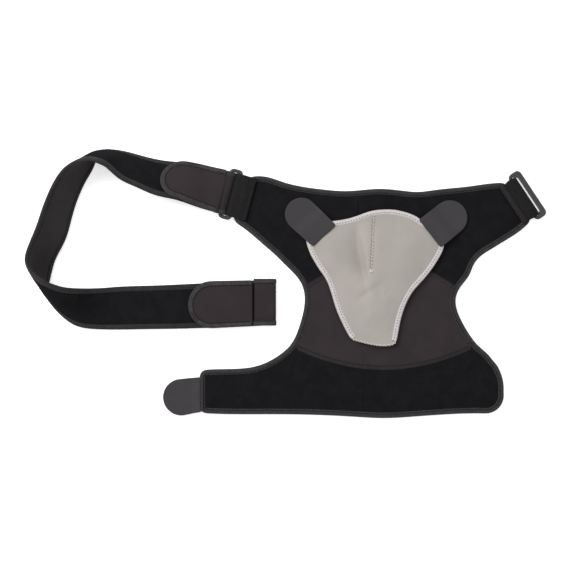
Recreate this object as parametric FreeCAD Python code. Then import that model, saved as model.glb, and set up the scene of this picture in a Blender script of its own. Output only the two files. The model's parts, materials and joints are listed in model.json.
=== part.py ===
import FreeCAD, Part
import os
from FreeCAD import Vector

# Shoulder brace with a hook-on pressure pad, lying open on a flat surface with its loop face up.
# Millimetres. +Z is up from the surface, +X runs from the long strap to the free ring, and
# +Y runs from the arm cuff to the neck edge. The outlines are drawn about a datum of their own,
# and every part is exported about BOX_MIDDLE, the middle of the brace's box on the surface.
BOX_MIDDLE = Vector(5.49, 0.87, 0.0)

# Sheet material
PANEL_T = 4.0            # neoprene with a loop or knit face
BINDING_W = 6.5          # edge tape seen from above
TAPE_T = 0.7             # one leaf of the edge tape
SEAM_W = 5.0
SEAM_T = 0.6
LAYER_GAP = 0.3          # between layers that peel apart
SPLIT = 0.15             # half the gap at a fold line
CUT_REACH = 900.0        # solids used only for cutting run this far past the brace

# Hook tabs
TAB_T = 1.4
HOOK_T = 1.2
TAB_BASE_W = 4.0
HOOK_INSET = 2.5
HOOK_START = 1.0         # from the foot of the tab's step to its hooks
FLOOR_GAP = 0.1

# Pressure pad
PAD_Z = PANEL_T + SEAM_T + LAYER_GAP
PAD_TOP = PAD_Z + 4.5
PAD_BINDING_W = 6.0
DART_W = 3.0
STITCH_T = 0.5

# Rings for 50 mm webbing
CHEST_RING_LENGTH = 59.0
BACK_RING_LENGTH = 61.0
BACK_RING_SLOT = 50.4
BACK_RING_FACE = 5.9     # width of the free ring's flat outer bar
RING_WEB_T = 3.6
RING_WEB_CORNER = 3.0
RING_WIDTH = 16.0
RING_BAR = 4.2
RING_CORNER = 3.3        # corner radius on the bar's centre line
RING_GAP = 0.25
HOLDER_LEAF = 1.2
HOLDER_W = 49.0
BAR_OFFSET = (RING_WIDTH - RING_BAR) / 2

# Strap
STRAP_T = 3.2
STRAP_W = 49.0
STRAP_BINDING = 6.0 / STRAP_W
WRAP_GAP = 0.3
TONGUE_LIFT = STRAP_T + LAYER_GAP + HOOK_T
CROSS_SEAM = 5.0         # from the ring's bar to the seam that closes the wrap

CHEST_RING_Z = RING_BAR / 2 + WRAP_GAP + STRAP_T + 0.05
BACK_RING_Z = 5.0


# ---------------------------------------------------------------- plane geometry

def at(x, y, z=0.0):
    return Vector(x, y, z)


def line(a, b):
    return Part.LineSegment(at(*a), at(*b)).toShape()


def arc(a, via, b):
    return Part.Arc(at(*a), at(*via), at(*b)).toShape()


def curve(*points):
    """A smooth curve through the points."""
    spline = Part.BSplineCurve()
    spline.interpolate([at(*p) for p in points])
    return spline.toShape()


def outline(*edges):
    return Part.Face(Part.Wire(list(edges)))


def polygon(*points):
    corners = [at(*p) for p in points]
    return Part.Face(Part.makePolygon(corners + corners[:1]))


def prism(face, low, high):
    """The solid over a face between two heights."""
    base = face.copy()
    base.translate(Vector(0, 0, low))
    return base.extrude(Vector(0, 0, high - low))


def column(face):
    """The tall column over and under a face, for cutting."""
    return prism(face, -CUT_REACH, CUT_REACH)


def strip(edge, width, low, high):
    """A strip of even width along an edge of the drawing plane."""
    start = edge.valueAt(edge.FirstParameter)
    side = Vector(0, 0, 1).cross(edge.tangentAt(edge.FirstParameter)) * (width / 2)
    up = Vector(0, 0, high - low)
    first = start + side + Vector(0, 0, low)
    last = start - side + Vector(0, 0, low)
    section = Part.makePolygon([first, last, last + up, first + up, first])
    return Part.Wire([edge]).makePipeShell([section], True, True)


def left_of(shape, a, b, gap=0.0):
    """What of a shape lies left of the line from a to b, by at least gap."""
    start, end = at(*a), at(*b)
    along = (end - start).normalize()
    left = Vector(0, 0, 1).cross(along)
    start = start + left * gap
    corners = [start - along * CUT_REACH, start + along * CUT_REACH]
    corners += [corners[1] + left * CUT_REACH, corners[0] + left * CUT_REACH]
    side = Part.Face(Part.makePolygon(corners + corners[:1]))
    return shape.common(column(side))


def right_of(shape, a, b, gap=0.0):
    return left_of(shape, b, a, gap)


def inset(face, distance):
    """The face drawn in by a distance, with every offset stretch as a plain spline."""
    edges = []
    for edge in face.makeOffset2D(-distance).OuterWire.OrderedEdges:
        if edge.Curve.TypeId == "Part::GeomOffsetCurve":
            edge = edge.Curve.toBSpline(edge.FirstParameter, edge.LastParameter).toShape()
        edges.append(edge)
    return Part.Face(Part.Wire(Part.__sortEdges__(edges)))


def bound_sheet(face, width, low, high):
    """A sheet of that outline and the tape folded over its edge, as (sheet, tape)."""
    whole = prism(face, low, high)
    inner = prism(inset(face, width), low, high)
    tongue = prism(inset(face, TAPE_T), low + TAPE_T, high - TAPE_T)
    sheet = inner.fuse(tongue).removeSplitter()
    return sheet, whole.cut(sheet)


class Axes:
    """A direction in the drawing plane with its origin: s runs along it, v to its left."""

    def __init__(self, origin, along):
        self.origin = at(*origin)
        self.s = at(*along).normalize()
        self.v = Vector(0, 0, 1).cross(self.s)

    def point(self, s, v, z=0.0):
        return self.origin + self.s * s + self.v * v + Vector(0, 0, z)

    def pair(self, s, v):
        p = self.point(s, v)
        return (p.x, p.y)

    def edges(self, route):
        """Lines through the pairs of points in a route, and arcs through the threes."""
        made = []
        for points in route:
            pairs = [self.pair(*p) for p in points]
            made.append(arc(*pairs) if len(pairs) == 3 else line(*pairs))
        return made

    def profile(self, points, half_width):
        """A solid with that outline in the s-z plane, as wide as stated each way."""
        corners = [self.point(s, -half_width, z) for s, z in points]
        face = Part.Face(Part.makePolygon(corners + corners[:1]))
        return face.extrude(self.v * (2 * half_width))


def tab_face(base_a, base_b, centre, radius):
    """A tab from its sewn edge to a round end."""
    middle = (at(*base_a) + at(*base_b)) * 0.5
    end = Axes(centre, (centre[0] - middle.x, centre[1] - middle.y))
    near, far = end.pair(0, radius), end.pair(0, -radius)
    if end.v.dot(at(*base_a) - middle) < 0:
        near, far = far, near
    return outline(line(base_b, base_a), line(base_a, near),
                   arc(near, end.pair(radius, 0), far), line(far, base_b))


# ---------------------------------------------------------------- the brace's outline

NECK_EDGE = curve(
    (-34, 124.4), (-20, 123.8), (1, 117.2), (24, 112), (47, 109), (72, 107.4), (110, 110),
    (139, 107.5), (152, 106.4), (176, 109), (208, 112.2), (240, 116.4), (249, 117))
BACK_WING_END = line((257.5, 111.3), (281.5, 76.5))
BACK_EDGE = curve(
    (280.5, 70), (273, 63), (255, 51), (237, 40), (224, 31), (217.5, 22), (213, 11), (204, -1),
    (198.3, -11), (197, -20), (200.5, -34.5), (209, -51), (223, -70), (236, -81.5),
    (245.5, -94), (250.5, -106), (252.2, -124))
ARM_EDGE = curve(
    (233, -148.2), (185, -149.2), (150, -151.6), (116, -153.4), (80, -151.8), (40, -149.8),
    (0, -149), (-50, -149), (-89, -148))
CUFF_END = line((-97, -140), (-97, -106))
ARMHOLE_EDGE = curve(
    (-88.5, -97.6), (-70, -97), (-50, -96.4), (-33, -94), (-18, -88.5), (-4, -80), (7, -70),
    (14, -58), (19.5, -42), (23.2, -26), (23.8, -14), (21, -1), (13.5, 10.5), (2, 22),
    (-10, 34), (-23, 45.3), (-37, 57.5), (-50, 67.5))
CHEST_WING_END = line((-58.2, 80), (-42.8, 117.5))
BRACE = outline(
    NECK_EDGE, arc((249, 117), (254.3, 115.4), (257.5, 111.3)),
    BACK_WING_END, arc((281.5, 76.5), (282.6, 73.2), (280.5, 70)),
    BACK_EDGE, arc((252.2, -124), (247.5, -141), (233, -148.2)),
    ARM_EDGE, arc((-89, -148), (-94.8, -145.8), (-97, -140)),
    CUFF_END, arc((-97, -106), (-94.8, -100), (-88.5, -97.6)),
    ARMHOLE_EDGE, arc((-50, 67.5), (-56.5, 73), (-58.2, 80)),
    CHEST_WING_END, arc((-42.8, 117.5), (-39.8, 122.4), (-34, 124.4)))

# Fold lines, each from its lower end to its upper end
CHEST_FOLD = ((-6.9, 28.2), (-25.0, 116.7))
BACK_FOLD = ((216.2, 20.0), (225.4, 111.0))
CUFF_LONG_FOLD = ((1.2, -153.0), (1.2, -76.0))
CUFF_SHORT_FOLD = ((190.0, -155.0), (219.5, -65.0))
TAPE_SPLIT_Y = 12.0      # the edge tape above this height folds with the wings, below with the cuff

# The two curved seams, from the armhole edge to the back edge
UPPER_SEAM = ((23, -8), (110, 27), (197.5, -8))
LOWER_SEAM = ((11.5, -68), (101, -95), (218.5, -67))


def seam_region(low_seam, high_seam):
    """The part of the drawing plane between two seams, or beyond one where the other is None."""
    reach = CUT_REACH
    if low_seam is None:
        a, b = (-reach, -reach), (reach, -reach)
        first = [line(a, b)]
    else:
        a, b = (-reach, low_seam[0][1]), (reach, low_seam[2][1])
        first = [line(a, low_seam[0]), arc(*low_seam), line(low_seam[2], b)]
    if high_seam is None:
        c, d = (reach, reach), (-reach, reach)
        second = [line(c, d)]
    else:
        c, d = (reach, high_seam[2][1]), (-reach, high_seam[0][1])
        left, over, right = high_seam
        second = [line(c, right), arc(right, over, left), line(left, d)]
    return outline(*first, line(b, c), *second, line(d, a))


def between_seams(shape, low_seam, high_seam):
    return shape.common(column(seam_region(low_seam, high_seam)))


def seam_tape(seam):
    """The flat tape over a seam, which stops short of the edge tape."""
    tape = strip(arc(*seam), SEAM_W, PANEL_T, PANEL_T + SEAM_T)
    return tape.common(column(inset(BRACE, BINDING_W + LAYER_GAP)))


def make_brace():
    """The panels and their edge tape, cut at the fold lines and the seams."""
    sheet, tape = bound_sheet(BRACE, BINDING_W, 0.0, PANEL_T)
    parts = {}
    above = between_seams(sheet, UPPER_SEAM, None)
    parts["chest_wing_panel"] = left_of(above, *CHEST_FOLD, SPLIT)
    parts["back_wing_panel"] = right_of(above, *BACK_FOLD, SPLIT)
    parts["upper_panel"] = left_of(right_of(above, *CHEST_FOLD, SPLIT), *BACK_FOLD, SPLIT)
    parts["shoulder_panel"] = between_seams(sheet, LOWER_SEAM, UPPER_SEAM)
    below = between_seams(sheet, None, LOWER_SEAM)
    parts["cuff_long_panel"] = left_of(below, *CUFF_LONG_FOLD, SPLIT)
    parts["cuff_short_panel"] = right_of(below, *CUFF_SHORT_FOLD, SPLIT)
    parts["cuff_panel"] = left_of(right_of(below, *CUFF_LONG_FOLD, SPLIT), *CUFF_SHORT_FOLD, SPLIT)

    upper_tape = left_of(tape, (0, TAPE_SPLIT_Y), (1, TAPE_SPLIT_Y))
    lower_tape = tape.cut(upper_tape)
    parts["chest_wing_binding"] = left_of(upper_tape, *CHEST_FOLD, SPLIT)
    parts["back_wing_binding"] = right_of(upper_tape, *BACK_FOLD, SPLIT)
    parts["cuff_long_binding"] = left_of(lower_tape, *CUFF_LONG_FOLD, SPLIT)
    low_right = between_seams(lower_tape, None, LOWER_SEAM)
    parts["cuff_short_binding"] = right_of(low_right, *CUFF_SHORT_FOLD, SPLIT)
    middle_top = left_of(right_of(upper_tape, *CHEST_FOLD, SPLIT), *BACK_FOLD, SPLIT)
    middle_low = right_of(lower_tape, *CUFF_LONG_FOLD, SPLIT)
    far_corner = right_of(low_right, *CUFF_SHORT_FOLD, -SPLIT)
    parts["brace_binding"] = middle_top.fuse(middle_low.cut(far_corner)).removeSplitter()

    parts["upper_seam_tape"] = seam_tape(UPPER_SEAM)
    parts["lower_seam_tape"] = left_of(seam_tape(LOWER_SEAM), *CUFF_SHORT_FOLD, SPLIT)
    return parts


# ---------------------------------------------------------------- pressure pad

PAD = outline(
    curve((48, 72), (62, 73.4), (80, 77.3), (100, 84.3), (116, 86), (133, 85), (148, 80.5),
          (162, 71)),
    arc((162, 71), (179, 60.5), (182.5, 40)),
    curve((182.5, 40), (174.5, 25.5), (160, 6), (147.5, -8), (138.5, -25), (133, -43),
          (129.5, -62), (128, -68.5)),
    curve((128, -68.5), (107, -70), (92, -67), (76.5, -63)),
    curve((76.5, -63), (68, -47), (60, -29), (54.5, -11), (47.5, 7), (37, 21.5), (29, 35.5),
          (25, 50)),
    arc((25, 50), (31, 66), (48, 72)))
PAD_FOLD = ((66.0, -54.5), (136.0, -58.0))
PAD_FOOT_EDGE = ((79.0, -62.0), (101.0, -66.8), (126.0, -66.5))
DART = ((102.7, 77.0), (99.7, 17.0))
FOOT_STITCH_W = 2.0
FOOT_SEAT = ((84, -64), (122, -64), (122, -60), (84, -60))    # where the foot is sewn down


def make_pad():
    sheet, tape = bound_sheet(PAD, PAD_BINDING_W, PAD_Z, PAD_TOP)
    foot = right_of(prism(PAD, PAD_Z, PAD_TOP), *PAD_FOLD, SPLIT)
    foot = foot.fuse(prism(polygon(*FOOT_SEAT), PANEL_T, PAD_Z))
    return {
        "pad_panel": left_of(sheet, *PAD_FOLD, SPLIT),
        "pad_binding": left_of(tape, *PAD_FOLD, SPLIT),
        "pad_foot": foot.removeSplitter(),
        "pad_foot_stitching": strip(arc(*PAD_FOOT_EDGE), FOOT_STITCH_W, PAD_TOP,
                                    PAD_TOP + STITCH_T),
        "pad_dart_seam": strip(line(*DART), DART_W, PAD_TOP, PAD_TOP + STITCH_T),
    }


# ---------------------------------------------------------------- hook tabs

CHEST_TAB = {"base": ((59.6, 67.6), (33.1, 43.2)), "centre": (20, 80.5), "radius": 19.0,
             "top": PAD_TOP, "step": (23.0, 33.0), "rest": PANEL_T + LAYER_GAP, "length": 55.4}
BACK_TAB = {"base": ((154, 74), (179, 42)), "centre": (190, 76.5), "radius": 20.0,
            "top": PAD_TOP, "step": (17.0, 27.0), "rest": PANEL_T + LAYER_GAP, "length": 49.9}
CUFF_TAB = {"base": ((-93.0, -145.5), (-93.0, -105.8)), "centre": (-118, -129.4), "radius": 21.0,
            "top": PANEL_T, "step": (5.0, 14.0), "rest": FLOOR_GAP, "length": 46.3}


def tab_axes(tab):
    a, b = at(*tab["base"][0]), at(*tab["base"][1])
    middle = (a + b) * 0.5
    square = Vector(0, 0, 1).cross(b - a)
    if square.dot(at(*tab["centre"]) - middle) < 0:
        square = square * -1
    return Axes((middle.x, middle.y), (square.x, square.y))


def make_tab(tab, lift, base_width):
    """A hook tab as (sewn base, free tab, hook patch). It steps down past the edge it is sewn to."""
    axes = tab_axes(tab)
    face = tab_face(*tab["base"], tab["centre"], tab["radius"])
    high = tab["top"] + lift
    low = tab["rest"] + HOOK_T
    near, far = tab["step"]
    reach = tab["length"] + tab["radius"]
    wide = 2 * tab["radius"]
    steps = [(base_width + SPLIT, high), (near, high), (far, low), (reach, low),
             (reach, low + TAB_T), (far, low + TAB_T), (near, high + TAB_T),
             (base_width + SPLIT, high + TAB_T)]
    free = axes.profile(steps, wide).common(column(face))
    start = far + HOOK_START
    patch = [(start, tab["rest"]), (reach, tab["rest"]), (reach, low), (start, low)]
    hooks = axes.profile(patch, wide).common(column(inset(face, HOOK_INSET)))
    base = [(0, tab["top"]), (base_width - SPLIT, tab["top"]),
            (base_width - SPLIT, high + TAB_T), (0, high + TAB_T)]
    sewn = axes.profile(base, wide).common(column(face))
    return sewn, free, hooks


def make_tabs():
    parts = {}
    for name, tab, lift in (("chest", CHEST_TAB, LAYER_GAP), ("back", BACK_TAB, LAYER_GAP)):
        sewn, free, hooks = make_tab(tab, lift, TAB_BASE_W)
        parts[f"pad_{name}_tab_base"] = sewn
        parts[f"pad_{name}_tab"] = free
        parts[f"pad_{name}_tab_hooks"] = hooks
    sewn, free, hooks = make_tab(CUFF_TAB, 0.0, TAB_BASE_W)
    parts["cuff_tab_base"] = sewn
    parts["cuff_tab"] = free
    parts["cuff_tab_hooks"] = hooks
    return parts


# ---------------------------------------------------------------- rings and their holders

CHEST_RING = Axes((-61.0, 103.5), (-0.966, 0.258))
BACK_RING = Axes((279.0, 102.4), (0.834, 0.552))
CHEST_HOLDER_REACH = 18.0
BACK_HOLDER_REACH = 16.0
HOLDER_STITCH_IN = 3.0   # from the band's sewn end to its row of stitches
HOLDER_STITCH_END = 2.0
HOLDER_STITCH_W = 1.2


def make_ring(axes, height, length):
    """A rectangular ring of round bar with rounded corners."""
    a, b, r = BAR_OFFSET, (length - RING_BAR) / 2, RING_CORNER
    k = r * (1 - 0.5 ** 0.5)
    route = [
        [(a, 0), (a, b - r)], [(a, b - r), (a - k, b - k), (a - r, b)],
        [(a - r, b), (r - a, b)], [(r - a, b), (k - a, b - k), (-a, b - r)],
        [(-a, b - r), (-a, r - b)], [(-a, r - b), (k - a, k - b), (r - a, -b)],
        [(r - a, -b), (a - r, -b)], [(a - r, -b), (a - k, k - b), (a, r - b)],
        [(a, r - b), (a, 0)],
    ]
    edges = axes.edges(route)
    path = Part.Wire(edges)
    path.translate(Vector(0, 0, height))
    section = Part.Wire([Part.makeCircle(RING_BAR / 2, axes.point(a, 0, height), axes.v)])
    return path.makePipeShell([section], True, False)


def widen_ring(ring, axes, height):
    """The free ring, with a flat web inside its outer bar and its ends."""
    a, b, r = BAR_OFFSET, (BACK_RING_LENGTH - RING_BAR) / 2, RING_CORNER
    k = r * (1 - 0.5 ** 0.5)
    root, half = r - a, BACK_RING_SLOT / 2
    inner = a + RING_BAR / 2 - BACK_RING_FACE
    c = RING_WEB_CORNER
    route = [
        [(root, -b), (a - r, -b)], [(a - r, -b), (a - k, k - b), (a, r - b)],
        [(a, r - b), (a, b - r)], [(a, b - r), (a - k, b - k), (a - r, b)],
        [(a - r, b), (root, b)], [(root, b), (root, half)], [(root, half), (inner - c, half)],
        [(inner - c, half), (inner, half - c)], [(inner, half - c), (inner, c - half)],
        [(inner, c - half), (inner - c, -half)], [(inner - c, -half), (root, -half)],
        [(root, -half), (root, -b)],
    ]
    edges = axes.edges(route)
    web = prism(outline(*edges), height - RING_WEB_T / 2, height + RING_WEB_T / 2)
    return ring.fuse(web).removeSplitter()


def cylinder(axes, s, height, radius, width):
    start = axes.point(s, -width / 2, height)
    return Part.makeCylinder(radius, width, start, axes.v)


def make_holder(axes, height, reach):
    """The band that holds a ring: two leaves sewn to the wing and an eye round the ring's bar."""
    outer = RING_BAR / 2 + RING_GAP + HOLDER_LEAF
    leaves = [(-reach, PANEL_T), (0, PANEL_T), (0, PANEL_T + 2 * HOLDER_LEAF),
              (-reach, PANEL_T + 2 * HOLDER_LEAF)]
    placed = Axes(axes.pair(-BAR_OFFSET, 0), (axes.s.x, axes.s.y))
    body = placed.profile(leaves, HOLDER_W / 2)
    body = body.fuse(cylinder(axes, -BAR_OFFSET, height, outer, HOLDER_W))
    body = body.cut(cylinder(axes, -BAR_OFFSET, height, outer - HOLDER_LEAF, HOLDER_W + 2))
    return body.cut(prism(BRACE, 0, PANEL_T)).removeSplitter()


def make_rings():
    back_ring = make_ring(BACK_RING, BACK_RING_Z, BACK_RING_LENGTH)
    parts = {
        "chest_ring": make_ring(CHEST_RING, CHEST_RING_Z, CHEST_RING_LENGTH),
        "back_ring": widen_ring(back_ring, BACK_RING, BACK_RING_Z),
        "chest_ring_holder": make_holder(CHEST_RING, CHEST_RING_Z, CHEST_HOLDER_REACH),
        "back_ring_holder": make_holder(BACK_RING, BACK_RING_Z, BACK_HOLDER_REACH),
    }
    top = PANEL_T + 2 * HOLDER_LEAF
    for name, axes, reach in (("chest", CHEST_RING, CHEST_HOLDER_REACH),
                              ("back", BACK_RING, BACK_HOLDER_REACH)):
        s = -BAR_OFFSET - reach + HOLDER_STITCH_IN
        half = HOLDER_W / 2 - HOLDER_STITCH_END
        seam = line(axes.pair(s, -half), axes.pair(s, half))
        parts[f"{name}_holder_stitching"] = strip(seam, HOLDER_STITCH_W, top, top + STITCH_T)
    return parts


# ---------------------------------------------------------------- strap

# Stations of the strap from the chest ring to its free end, as the outer edge, which stays on
# the surface, and the inner edge, which rises where the strap stands up. Heights are those of
# the strap's middle plane above the surface, added to what its thickness needs.
STRAP = [
    ((-66.6 + 6.3, 105.0 + 23.7, 0), (-66.6 - 6.3, 105.0 - 23.7, 0)),
    ((-85.0, 134.2, 0), (-97.4, 87.9, 10.3)),
    ((-113.0, 139.6, 0), (-124.0, 96.5, 20.5)),
    ((-137.0, 142.0, 0), (-146.0, 101.5, 26.0)),
    ((-160.0, 146.6, 0), (-167.0, 110.5, 32.3)),
    ((-183.0, 152.4, 0), (-187.0, 121.0, 37.4)),
    ((-199.0, 153.8, 0), (-200.0, 132.5, 44.0)),
    ((-208.0, 152.0, 0), (-208.0, 140.0, 47.5)),
    ((-214.0, 146.0, 0), (-214.0, 146.0, 49.0)),
    ((-220.8, 135.1, 0), (-229.0, 139.5, 48.1)),
    ((-227.7, 120.2, 0), (-244.0, 130.0, 45.0)),
    ((-238.1, 97.2, 0), (-258.0, 112.0, 42.3)),
    ((-245.0, 74.2, 0), (-269.0, 87.5, 40.6)),
    ((-251.9, 51.2, 0), (-277.0, 64.5, 40.0)),
    ((-263.4, 28.2, 0), (-286.0, 41.0, 41.5)),
    ((-266.8, 16.7, 0), (-287.5, 23.5, 43.8)),
    ((-268.0, 4.5, 0), (-268.0, 4.5, 49.0)),
    ((-266.8, -11.0, 0), (-254.5, -1.2, 46.4)),
    ((-261.1, -23.6, 0), (-246.0, -3.6, 42.1)),
    ((-253.0, -36.2, 0), (-235.5, -4.6, 33.1)),
    ((-240.4, -46.6, 0), (-223.0, -4.6, 18.3)),
    ((-217.4, -51.2, 0), (-206.0, -3.7, 7.6)),
    ((-190.0, -51.8, 0), (-188.0, -2.3, 2.0)),
    ((-150.0, -51.2, 0), (-149.0, -1.0, 0.1)),
    ((-125.0, -50.9, 0), (-125.0, 0.0, 0)),
    ((-91.0, -50.0, 0), (-91.0, 1.6, 0)),
    ((-56.0, -48.9, 0), (-56.0, 3.4, 0)),
    ((-9.0, -46.3, 0), (-9.0, 6.6, 0)),
]
CORNER = 8               # the station where the strap stands upright behind the ring
RETURN = 16              # the station where it stands upright again before the far run
END_FOLD = 24            # the station where the free end lifts
TONGUE_STATIONS = 5


def strap_frames():
    """Each station as (outer edge, inner edge, normal out of the loop face), in space."""
    outer = [at(*a) for a, b in STRAP]
    inner = [at(*b) for a, b in STRAP]
    frames = []
    for i, (a, b) in enumerate(zip(outer, inner)):
        before, after = max(i - 1, 0), min(i + 1, len(STRAP) - 1)
        along = (outer[after] + inner[after]) - (outer[before] + inner[before])
        across = (b - a).normalize()
        normal = along.cross(across).normalize()
        flat = (across.x ** 2 + across.y ** 2) ** 0.5
        raise_by = Vector(0, 0, STRAP_T / 2 * flat)
        frames.append((a + raise_by, b + raise_by, normal))
    return frames


FRAMES = strap_frames()


def ribbon(first, last, start_gap, end_gap, low, high, v0=0.0, v1=1.0):
    """A length of strap between two stations and two shares of its width.
    low and high are the heights of its faces over the middle plane, or one for each station."""
    count = last - first + 1
    lows = low if isinstance(low, list) else [low] * count
    highs = high if isinstance(high, list) else [high] * count
    corners = [[], [], [], []]
    for k in range(count):
        a, b, n = FRAMES[first + k]
        p, q = a + (b - a) * v0, a + (b - a) * v1
        for row, point in zip(corners, (p + n * lows[k], q + n * lows[k],
                                        q + n * highs[k], p + n * highs[k])):
            row.append(point)
    for row in corners:
        row[0] = row[0] + (row[1] - row[0]).normalize() * start_gap
        row[-1] = row[-1] + (row[-2] - row[-1]).normalize() * end_gap
    middles = [a + b for a, b, n in FRAMES[first:last + 1]]
    steps = [0.0]
    for p, q in zip(middles, middles[1:]):
        steps.append(steps[-1] + (q - p).Length)
    sides = []
    for row in corners:
        spline = Part.BSplineCurve()
        spline.interpolate(Points=row, Parameters=steps)
        sides.append(spline.toShape())
    faces = [Part.makeRuledSurface(sides[i], sides[(i + 1) % 4]) for i in range(4)]
    for k in (0, -1):
        ends = [row[k] for row in corners]
        faces.append(Part.makeFilledFace(Part.makePolygon(ends + ends[:1]).Edges))
    shell = Part.makeShell(faces)
    shell.sewShape()
    solid = Part.makeSolid(shell)
    if solid.Volume < 0:
        solid.reverse()
    return solid


def run_with_binding(name, first, last, start_gap, end_gap):
    half = STRAP_T / 2
    ends = (first, last, start_gap, end_gap, -half, half)
    edges = [ribbon(*ends, 0.0, STRAP_BINDING), ribbon(*ends, 1 - STRAP_BINDING, 1.0)]
    return {f"strap_{name}_run": ribbon(*ends, STRAP_BINDING, 1 - STRAP_BINDING),
            f"strap_{name}_binding": Part.makeCompound(edges)}


OUTER_BAR = Axes(CHEST_RING.pair(BAR_OFFSET, 0), (CHEST_RING.s.x, CHEST_RING.s.y))


def leaf(start, end, low, high, half_width):
    """A block along the strap from the ring's outer bar."""
    return OUTER_BAR.profile([(start, low), (end, low), (end, high), (start, high)], half_width)


def make_wrap():
    """The end of the strap round the chest ring's outer bar, up to the cross seam."""
    r = RING_BAR / 2 + WRAP_GAP
    low, high = CHEST_RING_Z - r - STRAP_T, CHEST_RING_Z + r + STRAP_T
    end, half = CROSS_SEAM - SPLIT, HOLDER_W / 2
    wrap = cylinder(CHEST_RING, BAR_OFFSET, CHEST_RING_Z, r + STRAP_T, HOLDER_W)
    wrap = wrap.fuse(leaf(0, end, low, high, half))
    wrap = wrap.cut(leaf(end, 2 * end, low, high, HOLDER_W))
    wrap = wrap.cut(leaf(0, end, low + STRAP_T, high - STRAP_T, HOLDER_W))
    return wrap.cut(cylinder(CHEST_RING, BAR_OFFSET, CHEST_RING_Z, r, 2 * HOLDER_W))


def past_cross_seam(shape, gap):
    """What of a shape lies on the strap's side of the cross seam, by at least gap."""
    return right_of(shape, OUTER_BAR.pair(CROSS_SEAM, 0), OUTER_BAR.pair(CROSS_SEAM, 1), gap)


def make_near_strap():
    parts = {"strap_ring_wrap": make_wrap()}
    for name, shape in run_with_binding("near", 0, CORNER, 0.0, SPLIT).items():
        parts[name] = past_cross_seam(shape, 0.0)
    return parts


def tongue(face, first, last, lifts):
    """A folded-back end over the strap as (middle, edge tape, hook patch), with a round tip."""
    highs = [x + STRAP_T / 2 for x in lifts]
    lows = [x - STRAP_T / 2 for x in lifts]
    under = [x - HOOK_T for x in lows]
    whole = ribbon(first, last, 0.0, 0.0, lows, highs).common(column(face))
    whole = past_cross_seam(whole, SPLIT)
    middle = whole.common(column(inset(face, BINDING_W)))
    patch = column(inset(face, BINDING_W + HOOK_START))
    hooks = ribbon(first, last, 0.0, 0.0, under, lows).common(patch)
    return middle, whole.cut(middle), past_cross_seam(hooks, SPLIT)


# The near tongue, along its own axis from the ring's outer bar
NEAR_TONGUE_AXIS = (-0.985, 0.172)
NEAR_ROOT = 26.0                              # half widths
NEAR_SIDE = 23.5
NEAR_SHOULDERS = (53.0, 58.0)
NEAR_TIP = (76.0, -2.0)
NEAR_STEP = 7.0                               # over the strap, where it comes down to it


def make_near_tongue():
    bar = Axes(OUTER_BAR.pair(0, 0), NEAR_TONGUE_AXIS)
    left, right = bar.pair(NEAR_SHOULDERS[0], -NEAR_SIDE), bar.pair(NEAR_SHOULDERS[1], NEAR_SIDE)
    root_left, root_right = bar.pair(0, -NEAR_ROOT), bar.pair(0, NEAR_ROOT)
    face = outline(line(root_right, root_left), line(root_left, left),
                   arc(left, bar.pair(*NEAR_TIP), right), line(right, root_right))
    wrap_top = 2 * (RING_BAR / 2 + WRAP_GAP + STRAP_T) - STRAP_T
    lifts = [wrap_top, NEAR_STEP] + [TONGUE_LIFT] * (TONGUE_STATIONS - 2)
    middle, tape, hooks = tongue(face, 0, TONGUE_STATIONS - 1, lifts)
    return {"near_tongue": middle, "near_tongue_binding": tape, "near_tongue_hooks": hooks}


# The free end's fold and its tongue, from the end back to the round tip
FAR_END = ((-9.0, -46.3), (-9.0, 6.6))
FAR_SEAM = ((-35.0, -47.8), (-35.0, 5.0))
FAR_SHOULDERS = ((-84.0, -50.2), (-74.0, 2.6))
FAR_TIP = (-110.0, -23.5)
FAR_STITCH_W = 1.5
FAR_STITCH_SHIFT = Vector(3, 0, 0)            # from the seam to its row of stitches


def make_far_end():
    """The free end: folded back on itself, with its tongue hooked on the loop face."""
    low, high = STRAP_T + LAYER_GAP + HOOK_T, 2 * STRAP_T + LAYER_GAP + HOOK_T
    band = polygon(FAR_SEAM[0], FAR_END[0], FAR_END[1], FAR_SEAM[1])
    fold = right_of(prism(band, low, high), *FAR_SEAM, SPLIT)
    wall = right_of(prism(band, STRAP_T, high), *FAR_END, -STRAP_T)
    face = outline(line(*FAR_SEAM), line(FAR_SEAM[1], FAR_SHOULDERS[1]),
                   arc(FAR_SHOULDERS[1], FAR_TIP, FAR_SHOULDERS[0]),
                   line(FAR_SHOULDERS[0], FAR_SEAM[0]))
    tape = prism(face, low, high).cut(column(inset(face, BINDING_W)))
    seam = line(*FAR_SEAM)
    seam.translate(FAR_STITCH_SHIFT)
    return {
        "strap_end_fold": fold.fuse(wall).removeSplitter(),
        "far_cross_seam": strip(seam, FAR_STITCH_W, high, high + STITCH_T),
        "far_tongue": prism(inset(face, BINDING_W), low, high),
        "far_tongue_binding": tape,
        "far_tongue_hooks": prism(inset(face, BINDING_W + HOOK_START), STRAP_T + LAYER_GAP, low),
    }


# ---------------------------------------------------------------- the whole brace

def make_all():
    parts = make_brace()
    parts.update(make_pad())
    parts.update(make_tabs())
    parts.update(make_rings())
    parts.update(make_near_strap())
    parts.update(make_near_tongue())
    parts.update(run_with_binding("loop", CORNER, RETURN, SPLIT, SPLIT))
    parts.update(run_with_binding("far", RETURN, END_FOLD, SPLIT, SPLIT))
    parts.update(run_with_binding("end", END_FOLD, len(STRAP) - 1, SPLIT, 0.0))
    parts.update(make_far_end())
    return parts


def export(parts):
    os.makedirs("parts", exist_ok=True)
    for name, shape in parts.items():
        placed = shape.copy()
        placed.translate(BOX_MIDDLE * -1)
        placed.exportStep(f"parts/{name}.step")


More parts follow.
